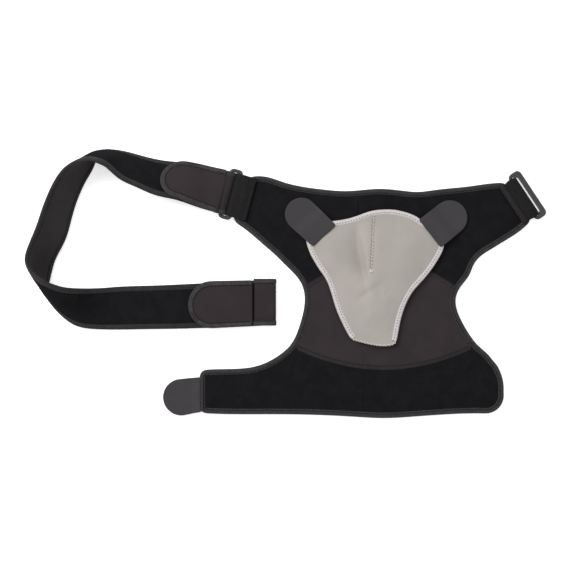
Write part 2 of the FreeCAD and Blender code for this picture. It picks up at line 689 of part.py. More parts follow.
def report(parts):
    box = FreeCAD.BoundBox()
    for name, shape in parts.items():
        own = shape.optimalBoundingBox(False)
        box.add(own)
        print(f"{name}: {len(shape.Solids)} solids, {shape.Volume:.0f} mm3, valid {shape.isValid()}, "
              f"low {own.ZMin:.2f}, high {own.ZMax:.2f}")
    print(f"{len(parts)} parts, box {box.XLength:.1f} x {box.YLength:.1f} x {box.ZLength:.1f} mm, "
          f"middle {box.Center.x:.2f}, {box.Center.y:.2f}")


brace_parts = make_all()
export(brace_parts)
report(brace_parts)
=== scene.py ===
import bmesh
import bpy
import json
import math
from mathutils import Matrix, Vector, kdtree, noise
from mathutils.geometry import delaunay_2d_cdt


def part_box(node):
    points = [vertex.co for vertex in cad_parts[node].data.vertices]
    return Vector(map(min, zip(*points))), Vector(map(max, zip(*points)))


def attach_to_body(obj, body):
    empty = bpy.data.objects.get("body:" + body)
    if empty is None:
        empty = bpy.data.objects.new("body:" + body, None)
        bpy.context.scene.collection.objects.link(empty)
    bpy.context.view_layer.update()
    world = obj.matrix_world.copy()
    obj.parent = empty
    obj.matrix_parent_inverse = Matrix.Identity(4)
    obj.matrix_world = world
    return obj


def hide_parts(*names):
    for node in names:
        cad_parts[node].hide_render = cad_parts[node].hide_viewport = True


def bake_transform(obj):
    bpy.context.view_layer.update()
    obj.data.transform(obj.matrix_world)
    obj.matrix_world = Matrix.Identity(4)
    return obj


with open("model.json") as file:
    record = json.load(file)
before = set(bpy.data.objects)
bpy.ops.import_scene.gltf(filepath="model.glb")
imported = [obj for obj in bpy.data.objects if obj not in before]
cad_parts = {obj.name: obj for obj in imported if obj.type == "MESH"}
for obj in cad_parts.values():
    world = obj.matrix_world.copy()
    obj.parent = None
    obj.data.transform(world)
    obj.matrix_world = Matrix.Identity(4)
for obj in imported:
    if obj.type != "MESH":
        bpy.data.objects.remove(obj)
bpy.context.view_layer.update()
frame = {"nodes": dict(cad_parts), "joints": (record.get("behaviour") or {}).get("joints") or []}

# Shoulder brace lying open, seen from straight above. Every size here is in millimetres in the
# row frame, and becomes metres where a mesh, light or camera is made.
MM = 0.001
UP = Vector((0, 0, 1))
JOINTS = {joint["name"]: joint for joint in frame["joints"]}

# Heights of the layers, as the design has them
BRACE_LOW, BRACE_HIGH = 0.0, 4.0
PAD_LOW, PAD_HIGH = 4.9, 9.4
STRAP_T = 3.2
STRAP_W = 49.0
STRAP_TAPE_W = 6.0
TAPE_W = 6.5
PAD_TAPE_W = 6.0
RING_BAR = 4.2

# Fabric
GRID = 3.0               # mesh spacing of a cloth face
PATH_STEP = 2.0          # spacing along an edge
TAPE_PROUD = 0.42        # the edge tape stands this far over the sheet that it binds
SEAM_W = 5.0
THREAD_R = 0.45
STITCH_PITCH = 2.4       # from one stitch to the next
STITCH_LENGTH = 1.7


# ---------------------------------------------------------------- small geometry

def smooth_step(x):
    x = min(max(x, 0.0), 1.0)
    return x * x * (3 - 2 * x)


def bell(x, reach):
    return math.exp(-(x / reach) ** 2)


def ripple(x, y, long, wide, seed):
    """Smooth unevenness from -1 to 1, with swells of about the given size along x and y."""
    return noise.noise(Vector((x / long, y / wide, seed)))


def level(z):
    """The height function of a level face."""
    return lambda x, y: z


def raised(face, rise):
    """The height function of a face that is this far above another."""
    return lambda x, y: face(x, y) + rise


def flat(v):
    return Vector((v[0], v[1]))


def resample(points, step, closed=False):
    """Points evenly spaced along a polyline."""
    points = [Vector(p) for p in points]
    if closed:
        points = points + points[:1]
    lengths = [0.0]
    for p, q in zip(points, points[1:]):
        lengths.append(lengths[-1] + (q - p).length)
    count = max(2, round(lengths[-1] / step))
    result = []
    k = 0
    for i in range(count if closed else count + 1):
        target = lengths[-1] * i / count
        while k < len(points) - 2 and lengths[k + 1] < target:
            k += 1
        span = lengths[k + 1] - lengths[k]
        share = (target - lengths[k]) / span if span > 0 else 0.0
        result.append(points[k].lerp(points[k + 1], share))
    return result


def straight(start, end, step=3.0):
    """Points along a straight line in plan, without its end."""
    return resample([Vector(start), Vector(end)], step)[:-1]


def relax(points, rounds):
    """Evens out the facets of a closed outline."""
    for _ in range(rounds):
        count = len(points)
        points = [(points[i - 1] + points[i] * 2 + points[(i + 1) % count]) / 4
                  for i in range(count)]
    return points


def turns_left(points):
    area = sum(points[i - 1].x * p.y - p.x * points[i - 1].y for i, p in enumerate(points))
    return points if area > 0 else points[::-1]


def left_sides(points, closed):
    """The unit direction to the left of a polyline at each of its points."""
    count = len(points)
    sides = []
    for i in range(count):
        before = points[i - 1] if closed or i > 0 else points[0]
        after = points[(i + 1) % count] if closed or i < count - 1 else points[-1]
        along = (after - before).normalized()
        sides.append(Vector((-along.y, along.x)))
    return sides


def shifted(points, distance, closed):
    """The polyline moved to its left."""
    return [p + side * distance for p, side in zip(points, left_sides(points, closed))]


class Near:
    """Distance in plan to the nearest of many points."""

    def __init__(self, points):
        self.tree = kdtree.KDTree(len(points))
        for i, p in enumerate(points):
            self.tree.insert((p[0], p[1], 0), i)
        self.tree.balance()

    def distance(self, x, y):
        return self.tree.find((x, y, 0))[2]

    def point(self, p):
        return flat(self.tree.find((p[0], p[1], 0))[0])


def hull(points):
    """The convex outline of points in plan, turning left."""
    ordered = sorted({(round(p[0], 2), round(p[1], 2)) for p in points})
    half = []
    for row in (ordered, ordered[::-1]):
        chain = []
        for p in row:
            while len(chain) > 1:
                a, b = chain[-2], chain[-1]
                if (b[0] - a[0]) * (p[1] - a[1]) - (b[1] - a[1]) * (p[0] - a[0]) > 0:
                    break
                chain.pop()
            chain.append(p)
        half += chain[:-1]
    return [Vector(p) for p in half]


# ---------------------------------------------------------------- reading the frame

def corners_of(*nodes):
    """The vertices of CAD nodes, in millimetres."""
    return [v.co / MM for name in nodes for v in frame["nodes"][name].data.vertices]


def wall_points(nodes):
    """Points in plan all along the upright faces of nodes."""
    upright, step = 0.1, 0.5
    points = []
    for name in nodes:
        mesh = frame["nodes"][name].data
        for face in mesh.polygons:
            if abs(face.normal.z) < upright:
                a, b, c = (flat(mesh.vertices[i].co / MM) for i in face.vertices)
                longest = max(((a, b), (b, c), (c, a)), key=lambda side: (side[1] - side[0]).length)
                points += resample(longest, step)
    return points


def rim(nodes, high, fold=None):
    """The closed outline of nodes in plan, from the walls that come up to a height from well
    below it, drawn onto the walls where they are missed. Walls along the line of the joint named
    as fold are cuts, and aren't part of it."""
    near, depth = 0.05, 0.75
    cut_reach, cut_width = 80, 0.6
    along_cut = range(-cut_reach, cut_reach + 1)
    skip = Near([fold_point(fold, s) for s in along_cut]) if fold else None
    segments = []
    for name in nodes:
        mesh = frame["nodes"][name].data
        for face in mesh.polygons:
            ends = [mesh.vertices[i].co / MM for i in face.vertices]
            top = [p for p in ends if abs(p.z - high) < near]
            bottom = [p for p in ends if p.z < high - depth]
            if len(top) == 2 and len(bottom) == 1 and (top[0] - top[1]).xy.length > near:
                segments.append((flat(top[0]), flat(top[1])))
    if skip:
        segments = [s for s in segments if max(skip.distance(*p) for p in s) > cut_width]
    chain = list(segments.pop())
    while segments:
        tail = chain[-1]
        best = min(segments, key=lambda s: min((s[0] - tail).length, (s[1] - tail).length))
        segments.remove(best)
        chain += best if (best[0] - tail).length < (best[1] - tail).length else best[::-1]
    walls = Near(wall_points(nodes))
    chain = [walls.point(p) for p in resample(chain, PATH_STEP, True)]
    return turns_left(relax(resample(chain, PATH_STEP, True), 3))


def hinge_line(joint):
    """A joint's place in millimetres, and its axis."""
    return Vector(JOINTS[joint]["pos_m"]) / MM, Vector(JOINTS[joint]["axis"])


def fold_point(joint, along):
    """A point on a joint's axis, in plan."""
    origin, axis = hinge_line(joint)
    return flat(origin + axis * along)


# ---------------------------------------------------------------- meshes

class Cloth:
    """A mesh as it is put together: vertices, faces and each face's material."""

    def __init__(self):
        self.points = []
        self.faces = []
        self.looks = []

    def add(self, points, faces, look=0):
        base = len(self.points)
        self.points += points
        self.faces += [[i + base for i in face] for face in faces]
        self.looks += [look] * len(faces)

    def loft(self, sections, look=0, closed=False):
        """A skin over closed sections, capped at both ends unless it closes on itself."""
        size, count = len(sections[0]), len(sections)
        points = [p for section in sections for p in section]
        faces = []
        for i in range(count if closed else count - 1):
            for j in range(size):
                k, n = (j + 1) % size, (i + 1) % count
                faces.append([i * size + j, i * size + k, n * size + k, n * size + j])
        if not closed:
            faces += [list(range(size)), [(count - 1) * size + j for j in range(size)]]
        self.add(points, faces, look)

    def slab(self, points, triangles, top, bottom, look=0, under=None):
        """A closed sheet over triangles in plan, between two height functions."""
        count = len(points)
        upper = [Vector((p[0], p[1], top(p[0], p[1]))) for p in points]
        lower = [Vector((p[0], p[1], bottom(p[0], p[1]))) for p in points]
        uses = {}
        for triangle in triangles:
            for i, a in enumerate(triangle):
                pair = (a, triangle[(i + 1) % 3])
                uses[frozenset(pair)] = None if frozenset(pair) in uses else pair
        walls = [[a, b, b + count, a + count] for a, b in filter(None, uses.values())]
        self.add(upper + lower, [list(t) for t in triangles] + walls, look)
        base = len(self.points) - 2 * count
        self.faces += [[base + count + i for i in reversed(t)] for t in triangles]
        self.looks += [look if under is None else under] * len(triangles)

    def stitch(self, path, height, look, swing=1.6, pitch=STITCH_PITCH, radius=THREAD_R,
               length=STITCH_LENGTH):
        """A row of stitches along a path in plan, each dipping into the cloth at both ends."""
        holes = resample(path, pitch)
        for i, (p, q) in enumerate(zip(holes, holes[1:])):
            along = (q - p).normalized()
            side = Vector((-along.y, along.x)) * (swing / 2 if i % 2 else -swing / 2)
            first, last = p - side, p + side + along * length
            middle = (first + last) / 2
            route = [Vector((*first, height(*first) - radius)),
                     Vector((*middle, height(*middle) + radius * 0.7)),
                     Vector((*last, height(*last) - radius))]
            self.loft(tube(route, radius), look)

    def tape(self, path, width, low, high, look, closed=False):
        """Edge tape folded over the edge on the right of a path in plan."""
        sections = []
        for p, side in zip(path, left_sides(path, closed)):
            profile = tape_profile(width, low, high)
            sections.append([Vector((*(p + side * u), z)) for u, z in profile])
        self.loft(sections, look, closed)


def tape_profile(width, low, high):
    """The closed section of an edge tape, as distance in from the edge and height."""
    roll, steps = 1.3, 8
    middle, half = (low + high) / 2, (high - low) / 2
    turn = []
    for i in range(steps + 1):
        angle = math.pi * (i / steps - 0.5)
        turn.append((roll - roll * math.cos(angle), middle + half * math.sin(angle)))
    over = [(width * 0.6, high + 0.05), (width - 0.7, high - 0.05), (width, high - 0.55)]
    return turn + over + [(u, 2 * middle - z) for u, z in reversed(over)]


def tube(route, radius, sides=5):
    sections = []
    last = len(route) - 1
    for i, p in enumerate(route):
        along = (route[min(i + 1, last)] - route[max(i - 1, 0)]).normalized()
        right = along.cross(UP).normalized()
        over = right.cross(along)
        ring = []
        for k in range(sides):
            angle = math.tau * k / sides
            ring.append(p + (right * math.cos(angle) + over * math.sin(angle)) * radius)
        sections.append(ring)
    return sections


def fill(outline, spacing=GRID, rings=(), lines=()):
    """(points, triangles) of the plan inside an outline, on an even grid. Rings are insets of
    the outline, and lines are polylines that the triangles' edges follow."""
    points = list(outline)
    count = len(points)
    edges = []
    for distance in rings:
        points += shifted(outline, distance, True)
    for row in lines:
        edges += [(len(points) + i, len(points) + i + 1) for i in range(len(row) - 1)]
        points += list(row)
    near = Near(points)
    low = Vector((min(p.x for p in outline), min(p.y for p in outline)))
    high = Vector((max(p.x for p in outline), max(p.y for p in outline)))
    rise = spacing * math.sqrt(3) / 2
    for j in range(int((high.y - low.y) / rise) + 1):
        for i in range(int((high.x - low.x) / spacing) + 1):
            x, y = low.x + (i + 0.5 * (j % 2)) * spacing, low.y + j * rise
            if near.distance(x, y) > spacing * 0.6:
                points.append(Vector((x, y)))
    made = delaunay_2d_cdt(points, edges, [list(range(count))], 1, 1e-5)
    return made[0], [list(face) for face, within in zip(made[2], made[5]) if within]


SHARP_ANGLE = math.radians(55)


def add_object(name, data):
    """A new object in the scene."""
    made = bpy.data.objects.new(name, data)
    bpy.context.scene.collection.objects.link(made)
    return made


def make_piece(name, cloth, looks, replaces=(), onto=None):
    """The Blender object of a cloth, whose points go through onto first if it is given."""
    mesh = bpy.data.meshes.new(name)
    points = [onto(p) if onto else p for p in cloth.points]
    mesh.from_pydata([p * MM for p in points], [], cloth.faces)
    for look in looks:
        mesh.materials.append(look)
    for face, look in zip(mesh.polygons, cloth.looks):
        face.material_index = look
    work = bmesh.new()
    work.from_mesh(mesh)
    bmesh.ops.recalc_face_normals(work, faces=work.faces)
    for face in work.faces:
        face.smooth = True
    work.to_mesh(mesh)
    work.free()
    mesh.set_sharp_from_angle(angle=SHARP_ANGLE)
    piece = add_object(name, mesh)
    if replaces:
        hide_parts(*replaces)
    return piece


def make_sheet(name, plan, top, bottom, looks, nodes, onto=None):
    """A sheet cut to a plan of points and triangles, whose last look is its underside's."""
    points, triangles = plan
    cloth = Cloth()
    cloth.slab(points, triangles, top, bottom, 0, len(looks) - 1)
    piece = make_piece(name, cloth, looks, nodes, onto)
    return piece


# ---------------------------------------------------------------- materials

def linear(red, green, blue):
    """An sRGB colour of 0 to 255 as the linear colour that shaders take."""
    values = []
    for part in (red, green, blue):
        part /= 255
        values.append(part / 12.92 if part < 0.04045 else ((part + 0.055) / 1.055) ** 2.4)
    return (*values, 1.0)


def darker(colour, share):
    return (*(c * share for c in colour[:3]), 1.0)


def wave_scale(period):
    """The wave texture's scale for a period in millimetres."""
    return math.tau / (20 * period * MM)


class Look:
    """A procedural material as it is put together."""

    def __init__(self, name, roughness, sheen=0.0, specular=0.3):
        self.material = bpy.data.materials.new(name)
        self.material.use_nodes = True
        self.nodes = self.material.node_tree.nodes
        self.links = self.material.node_tree.links
        self.shader = self.nodes["Principled BSDF"]
        self.shader.inputs["Roughness"].default_value = roughness
        self.shader.inputs["Specular IOR Level"].default_value = specular
        self.shader.inputs["Sheen Weight"].default_value = sheen
        self.shader.inputs["Sheen Roughness"].default_value = 0.5
        self.place = self.nodes.new("ShaderNodeTexCoord").outputs["Object"]

    def texture(self, kind, **values):
        """A texture node that reads the object's own place."""
        node = self.nodes.new(kind)
        for name, value in values.items():
            node.inputs[name].default_value = value
        self.links.new(self.place, node.inputs["Vector"])
        return node

    def noise(self, size, detail=2.0, distortion=0.0):
        return self.texture("ShaderNodeTexNoise", Scale=1 / (size * MM), Detail=detail,
                            Distortion=distortion).outputs["Fac"]

    def cells(self, size):
        return self.texture("ShaderNodeTexVoronoi", Scale=1 / (size * MM)).outputs["Distance"]

    def bands(self, period, direction, distortion=0.0):
        node = self.texture("ShaderNodeTexWave", Scale=wave_scale(period), Distortion=distortion)
        node.bands_direction = direction
        return node.outputs["Fac"]

    def maths(self, operation, a, b):
        node = self.nodes.new("ShaderNodeMath")
        node.operation = operation
        for socket, value in zip(node.inputs, (a, b)):
            if isinstance(value, float):
                socket.default_value = value
            else:
                self.links.new(value, socket)
        return node.outputs[0]

    def spread(self, value, low, high):
        """The value stretched so that low becomes 0 and high becomes 1."""
        node = self.nodes.new("ShaderNodeMapRange")
        node.inputs["From Min"].default_value = low
        node.inputs["From Max"].default_value = high
        self.links.new(value, node.inputs["Value"])
        return node.outputs["Result"]

    def mix(self, share, first, second):
        node = self.nodes.new("ShaderNodeMix")
        node.data_type = "RGBA"
        self.links.new(share, node.inputs["Factor"])
        for socket, value in ((node.inputs[6], first), (node.inputs[7], second)):
            if isinstance(value, tuple):
                socket.default_value = value
            else:
                self.links.new(value, socket)
        return node.outputs[2]

    def graded(self, value, low, high, first, second):
        """The first colour where the value is low, and the second where it is high."""
        return self.mix(self.spread(value, low, high), first, second)

    def colour(self, value):
        self.links.new(value, self.shader.inputs["Base Color"])

    def bump(self, heights):
        """Bumps from (value, depth in millimetres) pairs, one on the other."""
        normal = None
        for value, depth in heights:
            node = self.nodes.new("ShaderNodeBump")
            node.inputs["Distance"].default_value = depth * MM
            self.links.new(value, node.inputs["Height"])
            if normal is not None:
                self.links.new(normal, node.inputs["Normal"])
            normal = node.outputs["Normal"]
        self.links.new(normal, self.shader.inputs["Normal"])

    def knit(self, period):
        """Rows of small loops."""
        rows = self.bands(period, "X", 0.6)
        courses = self.bands(period * 0.7, "Y", 0.6)
        return self.maths("MULTIPLY", rows, courses)


def loop_pile():
    look = Look("loop_pile", 1.0, specular=0.03)
    tufts = look.cells(0.9)
    nap = look.noise(14.0, 3.0, 0.6)
    base = look.graded(nap, 0.35, 0.65, linear(22, 21, 23), linear(26, 25, 27))
    look.colour(look.graded(look.noise(0.5, 4.0, 1.5), 0.62, 0.74, base, linear(50, 48, 50)))
    look.bump([(nap, 0.5), (tufts, 0.35), (look.noise(0.35, 3.0), 0.15)])
    return look.material


def knit_face(name, colour, shade, period=0.8, sheen=0.02):
    look = Look(name, 0.9, sheen=sheen, specular=0.08)
    stitches = look.knit(period)
    broad = look.noise(30.0, 2.0, 0.4)
    base = look.graded(broad, 0.35, 0.65, colour, shade)
    look.colour(look.graded(stitches, 0.3, 0.0, base, darker(colour, 0.72)))
    look.bump([(look.noise(9.0, 2.0), 0.3), (stitches, 0.16), (look.noise(0.3, 2.0), 0.05)])
    return look.material


def woven_tape(name, colour, shade):
    look = Look(name, 0.85, sheen=0.02, specular=0.1)
    warp = look.bands(0.75, "DIAGONAL", 0.4)
    weft = look.bands(0.5, "Z", 0.3)
    weave = look.maths("MAXIMUM", warp, weft)
    wear = look.noise(5.0, 3.0, 0.5)
    base = look.graded(wear, 0.35, 0.7, colour, shade)
    look.colour(look.graded(weave, 0.45, 0.05, base, darker(colour, 0.7)))
    look.bump([(look.noise(3.3, 1.0), 0.35), (weave, 0.14)])
    return look.material


def thread(name, colour):
    look = Look(name, 0.8, specular=0.06)
    twist = look.bands(0.45, "DIAGONAL", 0.2)
    look.colour(look.graded(twist, 0.1, 0.7, darker(colour, 0.55), colour))
    look.bump([(twist, 0.06)])
    return look.material


def pad_foam():
    look = Look("pad_foam_laminate", 0.9, sheen=0.06, specular=0.15)
    stitches = look.knit(0.7)
    broad = look.noise(38.0, 2.0, 0.3)
    base = look.graded(broad, 0.35, 0.65, linear(166, 161, 155), linear(178, 171, 166))
    look.colour(look.graded(stitches, 0.2, 0.0, base, linear(150, 145, 139)))
    look.bump([(look.noise(11.0, 2.0), 0.35), (stitches, 0.1)])
    return look.material


def hooks():
    look = Look("moulded_hooks", 0.55, specular=0.4)
    rows = look.bands(1.3, "X")
    posts = look.maths("MULTIPLY", rows, look.bands(1.0, "Y"))
    look.colour(look.graded(posts, 0.2, 0.8, linear(24, 24, 26), linear(62, 62, 66)))
    look.bump([(posts, 0.8)])
    return look.material


def ring_plastic():
    look = Look("ring_plastic", 0.45, specular=0.35)
    flow = look.noise(6.0, 3.0, 0.8)
    look.colour(look.graded(flow, 0.3, 0.7, linear(50, 48, 50), linear(60, 57, 59)))
    look.bump([(look.noise(0.6, 2.0), 0.03), (flow, 0.08)])
    return look.material


PILE = loop_pile()
SHOULDER_KNIT = knit_face("shoulder_knit", linear(52, 47, 49), linear(60, 53, 55))
STRAP_KNIT = knit_face("strap_knit", linear(51, 48, 49), linear(57, 54, 55))
TONGUE_KNIT = knit_face("tongue_knit", linear(52, 46, 48), linear(57, 51, 53))
WRAP_KNIT = knit_face("wrap_knit", linear(50, 46, 47), linear(56, 52, 53))
TAB_KNIT = knit_face("tab_knit", linear(69, 66, 69), linear(75, 72, 74), 0.6)
TAPE = woven_tape("edge_tape", linear(51, 50, 50), linear(63, 61, 62))
STRAP_TAPE = woven_tape("strap_tape", linear(42, 40, 41), linear(51, 49, 50))
SEAM_TAPE = woven_tape("seam_tape", linear(40, 37, 38), linear(47, 43, 44))
RING_BAND = woven_tape("ring_band", linear(28, 27, 28), linear(33, 31, 32))
PAD_FOAM = pad_foam()
PAD_TAPE = woven_tape("pad_tape", linear(188, 182, 181), linear(200, 194, 193))
PAD_THREAD = thread("pad_thread", linear(226, 216, 211))
PAD_DOTS = thread("pad_tape_thread", linear(104, 99, 106))
DARK_THREAD = thread("dark_thread", linear(22, 21, 22))
LIGHT_THREAD = thread("light_thread", linear(66, 62, 64))
HOOKS = hooks()
PLASTIC = ring_plastic()


# ---------------------------------------------------------------- the brace

BRACE_BINDINGS = ["brace_binding", "chest_wing_binding", "back_wing_binding",
                  "cuff_long_binding", "cuff_short_binding"]
BRACE_RIM = rim(BRACE_BINDINGS, BRACE_HIGH)
RIM_NEAR = Near(BRACE_RIM)


def seam_line(node):
    """The middle of a seam's band, as a parabola through its vertices, run on past both ends."""
    window, reach, count = 6, 60.0, 120
    points = corners_of(node)
    low, high = min(p.x for p in points), max(p.x for p in points)
    ends = []
    for x in (low, (low + high) / 2, high):
        close = [p for p in points if abs(p.x - x) < window] or points
        ends.append((x, (min(p.y for p in close) + max(p.y for p in close)) / 2))
    (x0, y0), (x1, y1), (x2, y2) = ends
    line = []
    for i in range(count + 1):
        x = low - reach + (high - low + 2 * reach) * i / count
        y = (y0 * (x - x1) * (x - x2) / ((x0 - x1) * (x0 - x2))
             + y1 * (x - x0) * (x - x2) / ((x1 - x0) * (x1 - x2))
             + y2 * (x - x0) * (x - x1) / ((x2 - x0) * (x2 - x1)))
        line.append(Vector((x, y)))
    return line


def seam_height(line, x):
    for p, q in zip(line, line[1:]):
        if p.x <= x <= q.x:
            return p.y + (q.y - p.y) * (x - p.x) / (q.x - p.x)
    return line[0].y if x < line[0].x else line[-1].y


UPPER_SEAM = seam_line("upper_seam_tape")
LOWER_SEAM = seam_line("lower_seam_tape")
SEAM_NEAR = Near(resample(UPPER_SEAM, 1.0) + resample(LOWER_SEAM, 1.0))
CHEST_BACK_X = 80.0      # the upper panel's two halves meet here, where nothing bends
CUFF_HALVES_X = 86.0
CREASE_X = 90.0          # a fold mark across the cuff
CREASE_TOP = -90
CREASE_DEPTH, CREASE_LIP = 0.55, 0.25
FACE_LOW = 3.75          # height of the brace's face beside its tape
FACE_CROWN = 0.42
SHEET_BASE = 0.2


def brace_top(x, y):
    """The height of the brace's face: crowned between its edges, drawn down at its seams."""
    edge = smooth_step((RIM_NEAR.distance(x, y) - 4) / 10)
    seam = smooth_step(SEAM_NEAR.distance(x, y) / 7)
    wave = ripple(x, y, 52, 46, 3.7) * 0.32 + ripple(x, y, 19, 23, 8.1) * 0.14
    crease = 0.0
    if y < CREASE_TOP:
        side = x - CREASE_X - (y + 120) * 0.09
        crease = CREASE_DEPTH * bell(side, 3.2) - CREASE_LIP * bell(side - 7, 5)
    return FACE_LOW + FACE_CROWN * edge * (0.45 + 0.55 * seam) + wave * edge - crease * edge


def brace_regions():
    """The brace's plan in five pieces, each (points, triangles)."""
    halves = [[Vector((CHEST_BACK_X, 400)), Vector((CHEST_BACK_X, 0))],
              [Vector((CUFF_HALVES_X, -60)), Vector((CUFF_HALVES_X, -400))]]
    outline = shifted(BRACE_RIM, 2.2, True)
    points, triangles = fill(outline, GRID, (), [UPPER_SEAM, LOWER_SEAM] + halves)
    regions = {}
    for triangle in triangles:
        middle = sum((points[i] for i in triangle), Vector((0, 0))) / 3
        if middle.y > seam_height(UPPER_SEAM, middle.x):
            name = "chest_side" if middle.x < CHEST_BACK_X else "back_side"
        elif middle.y > seam_height(LOWER_SEAM, middle.x):
            name = "shoulder"
        else:
            name = "cuff_long_side" if middle.x < CUFF_HALVES_X else "cuff_short_side"
        regions.setdefault(name, []).append(triangle)
    result = {}
    for name, group in regions.items():
        used = sorted({i for triangle in group for i in triangle})
        number = {old: new for new, old in enumerate(used)}
        result[name] = ([points[i] for i in used], [[number[i] for i in t] for t in group])
    return result


# Each half of a panel, the body across its fold, the fold, how far it bends either side of it
PANELS = {
    "chest_side": (PILE, "loop_pile", ["chest_wing_panel", "upper_panel"], "chest_wing",
                   "chest_wing_fold", (-50, 100)),
    "back_side": (PILE, "loop_pile", ["back_wing_panel"], "back_wing", "back_wing_fold", (270, 80)),
    "shoulder": (SHOULDER_KNIT, "knit_face", ["shoulder_panel"], None, None, None),
    "cuff_long_side": (PILE, "loop_pile", ["cuff_long_panel", "cuff_panel"], "cuff_long",
                       "cuff_long_fold", (-60, -120)),
    "cuff_short_side": (PILE, "loop_pile", ["cuff_short_panel"], "cuff_short",
                        "cuff_short_fold", (240, -130)),
}


def attach(piece, name):
    """Bakes the place of a piece of the brace that lies across a fold into its mesh, or fixes it to
    the middle.
    """
    body, fold, side = PANELS[name][3:]
    if body:
        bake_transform(piece)
    else:
        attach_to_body(piece, "brace")


def make_panels():
    for name, plan in brace_regions().items():
        look, slot, nodes = PANELS[name][:3]
        piece = make_sheet(f"{name}_cloth", plan, brace_top, level(SHEET_BASE),
                           [look, STRAP_KNIT], nodes)
        attach(piece, name)


# Where the edge tape's stretches meet, going round to the left from the neck edge
TAPE_CUTS = [("chest_side", (CHEST_BACK_X, 110)), ("shoulder_front", (18, -9)),
             ("cuff_long_side", (6, -69)), ("cuff_short_side", (CUFF_HALVES_X, -155)),
             ("shoulder_back", (213, -68)), ("back_side", (192, -9))]
TAPE_NODES = {"chest_side": ["chest_wing_binding"], "shoulder_front": ["brace_binding"],
              "cuff_long_side": ["cuff_long_binding"], "cuff_short_side": ["cuff_short_binding"],
              "shoulder_back": [], "back_side": ["back_wing_binding"]}


def stretches(loop, cuts):
    """A closed outline cut at the points of it nearest to the given places."""
    starts = [min(range(len(loop)), key=lambda i: (loop[i] - Vector(place)).length)
              for _, place in cuts]
    result = {}
    for k, (name, _) in enumerate(cuts):
        first, last = starts[k], starts[(k + 1) % len(starts)]
        if last <= first:
            last += len(loop)
        result[name] = [loop[i % len(loop)] for i in range(first, last + 1)]
    return result


def make_brace_tape():
    high = BRACE_HIGH + TAPE_PROUD
    for name, path in stretches(BRACE_RIM, TAPE_CUTS).items():
        cloth = Cloth()
        cloth.tape(path, TAPE_W, BRACE_LOW + 0.02, high, 0)
        row = shifted(path, TAPE_W - 1.7, False)
        cloth.stitch(row, level(high), 1)
        piece = make_piece(f"{name}_edge_tape", cloth, [TAPE, DARK_THREAD],
                           TAPE_NODES[name])
        attach(piece, name if name in PANELS else "shoulder")


# A seam band's section, as shares of its width across it and heights over the brace's face
SEAM_PROFILE = [(-0.5, 0.0), (-0.48, 0.28), (-0.3, 0.42), (0.0, 0.34), (0.3, 0.42), (0.48, 0.28),
                (0.5, 0.0), (0.3, -0.4), (-0.3, -0.4)]


def make_seams():
    inner = 5.6
    for name, line, node in (("upper", UPPER_SEAM, "upper_seam_tape"),
                             ("lower", LOWER_SEAM, "lower_seam_tape")):
        low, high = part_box(node)
        path = [p for p in line if low.x / MM - 1 < p.x < high.x / MM + 1]
        path = resample(path, PATH_STEP)
        path = [p for p in path if RIM_NEAR.distance(*p) > inner]
        cloth = Cloth()
        sections = []
        for p, side in zip(path, left_sides(path, False)):
            z = brace_top(p.x, p.y)
            sections.append([Vector((*(p + side * u * SEAM_W), z + h)) for u, h in SEAM_PROFILE])
        cloth.loft(sections, 0)
        row = shifted(path, SEAM_W * 0.36, False)
        cloth.stitch(row, raised(brace_top, 0.3), 1, swing=0.6, pitch=2.6, radius=0.35)
        piece = make_piece(f"{name}_seam_band", cloth, [SEAM_TAPE, DARK_THREAD],
                           [node])
        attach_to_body(piece, "brace")


# ---------------------------------------------------------------- pressure pad

PAD_RIM = relax(rim(["pad_binding", "pad_foot"], PAD_HIGH, "pad_lift"), 3)
PAD_NEAR = Near(PAD_RIM)
DART_LOW, DART_HIGH = (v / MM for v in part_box("pad_dart_seam"))
DART_TOP = Vector((DART_HIGH.x - 1.5, DART_HIGH.y))
DART_FOOT = Vector((DART_LOW.x + 1.5, DART_LOW.y))
DART_NEAR = Near(resample([DART_TOP, DART_FOOT], 1.0))


# The hollow: where its fold is at its top end and how it leans, then how far it falls away to
# the right and to the left of the fold, its middle and reach in y, and its depth
FOLD_X, FOLD_TOP, FOLD_LEAN = 80.5, 42, 0.17
HOLLOW_RIGHT, HOLLOW_LEFT, HOLLOW_EASE = 3.4, 12.5, 1.4
HOLLOW_Y, HOLLOW_REACH = 30, 30
HOLLOW_DEPTH = 9.6
DART_DEPTH = 1.2
TRAIL_DEPTH = 1.6        # a faint fold that runs on from the dart
PAD_CROWN = 5.2


def pad_hollow(x, y):
    """How far in a point is, from 0 to 1, in the hollow that falls gently from the left of the
    pad's face and ends at a steep fold beside the dart."""
    past = x - FOLD_X - (FOLD_TOP - y) * FOLD_LEAN
    if past > 0:
        wall = bell(past, HOLLOW_RIGHT)
    else:
        wall = math.exp(-(-past / HOLLOW_LEFT) ** HOLLOW_EASE)
    return wall * bell(y - HOLLOW_Y, HOLLOW_REACH)


def pad_top(x, y):
    """The pad's face: a crown, drawn in along the dart and at the hollow."""
    inside = smooth_step((PAD_NEAR.distance(x, y) - 5) / 16)
    rise = smooth_step((PAD_NEAR.distance(x, y) - 5) / 42)
    dart = bell(DART_NEAR.distance(x, y), 1.8)
    trail = bell(x - 84 - (y + 15) * 1.3, 6) * bell(y + 10, 10)
    wrinkle = ripple(x, y, 31, 37, 1.3) * 0.7
    drawn_in = (DART_DEPTH * dart + HOLLOW_DEPTH * pad_hollow(x, y) + TRAIL_DEPTH * trail) * inside
    return max(PAD_HIGH - 0.25 + (PAD_CROWN + wrinkle) * rise - drawn_in, PAD_LOW + 0.8)


PAD_PRESSURE = 4.0
SWELL_LIMIT = 3.0
SWELL_FRAMES = 20


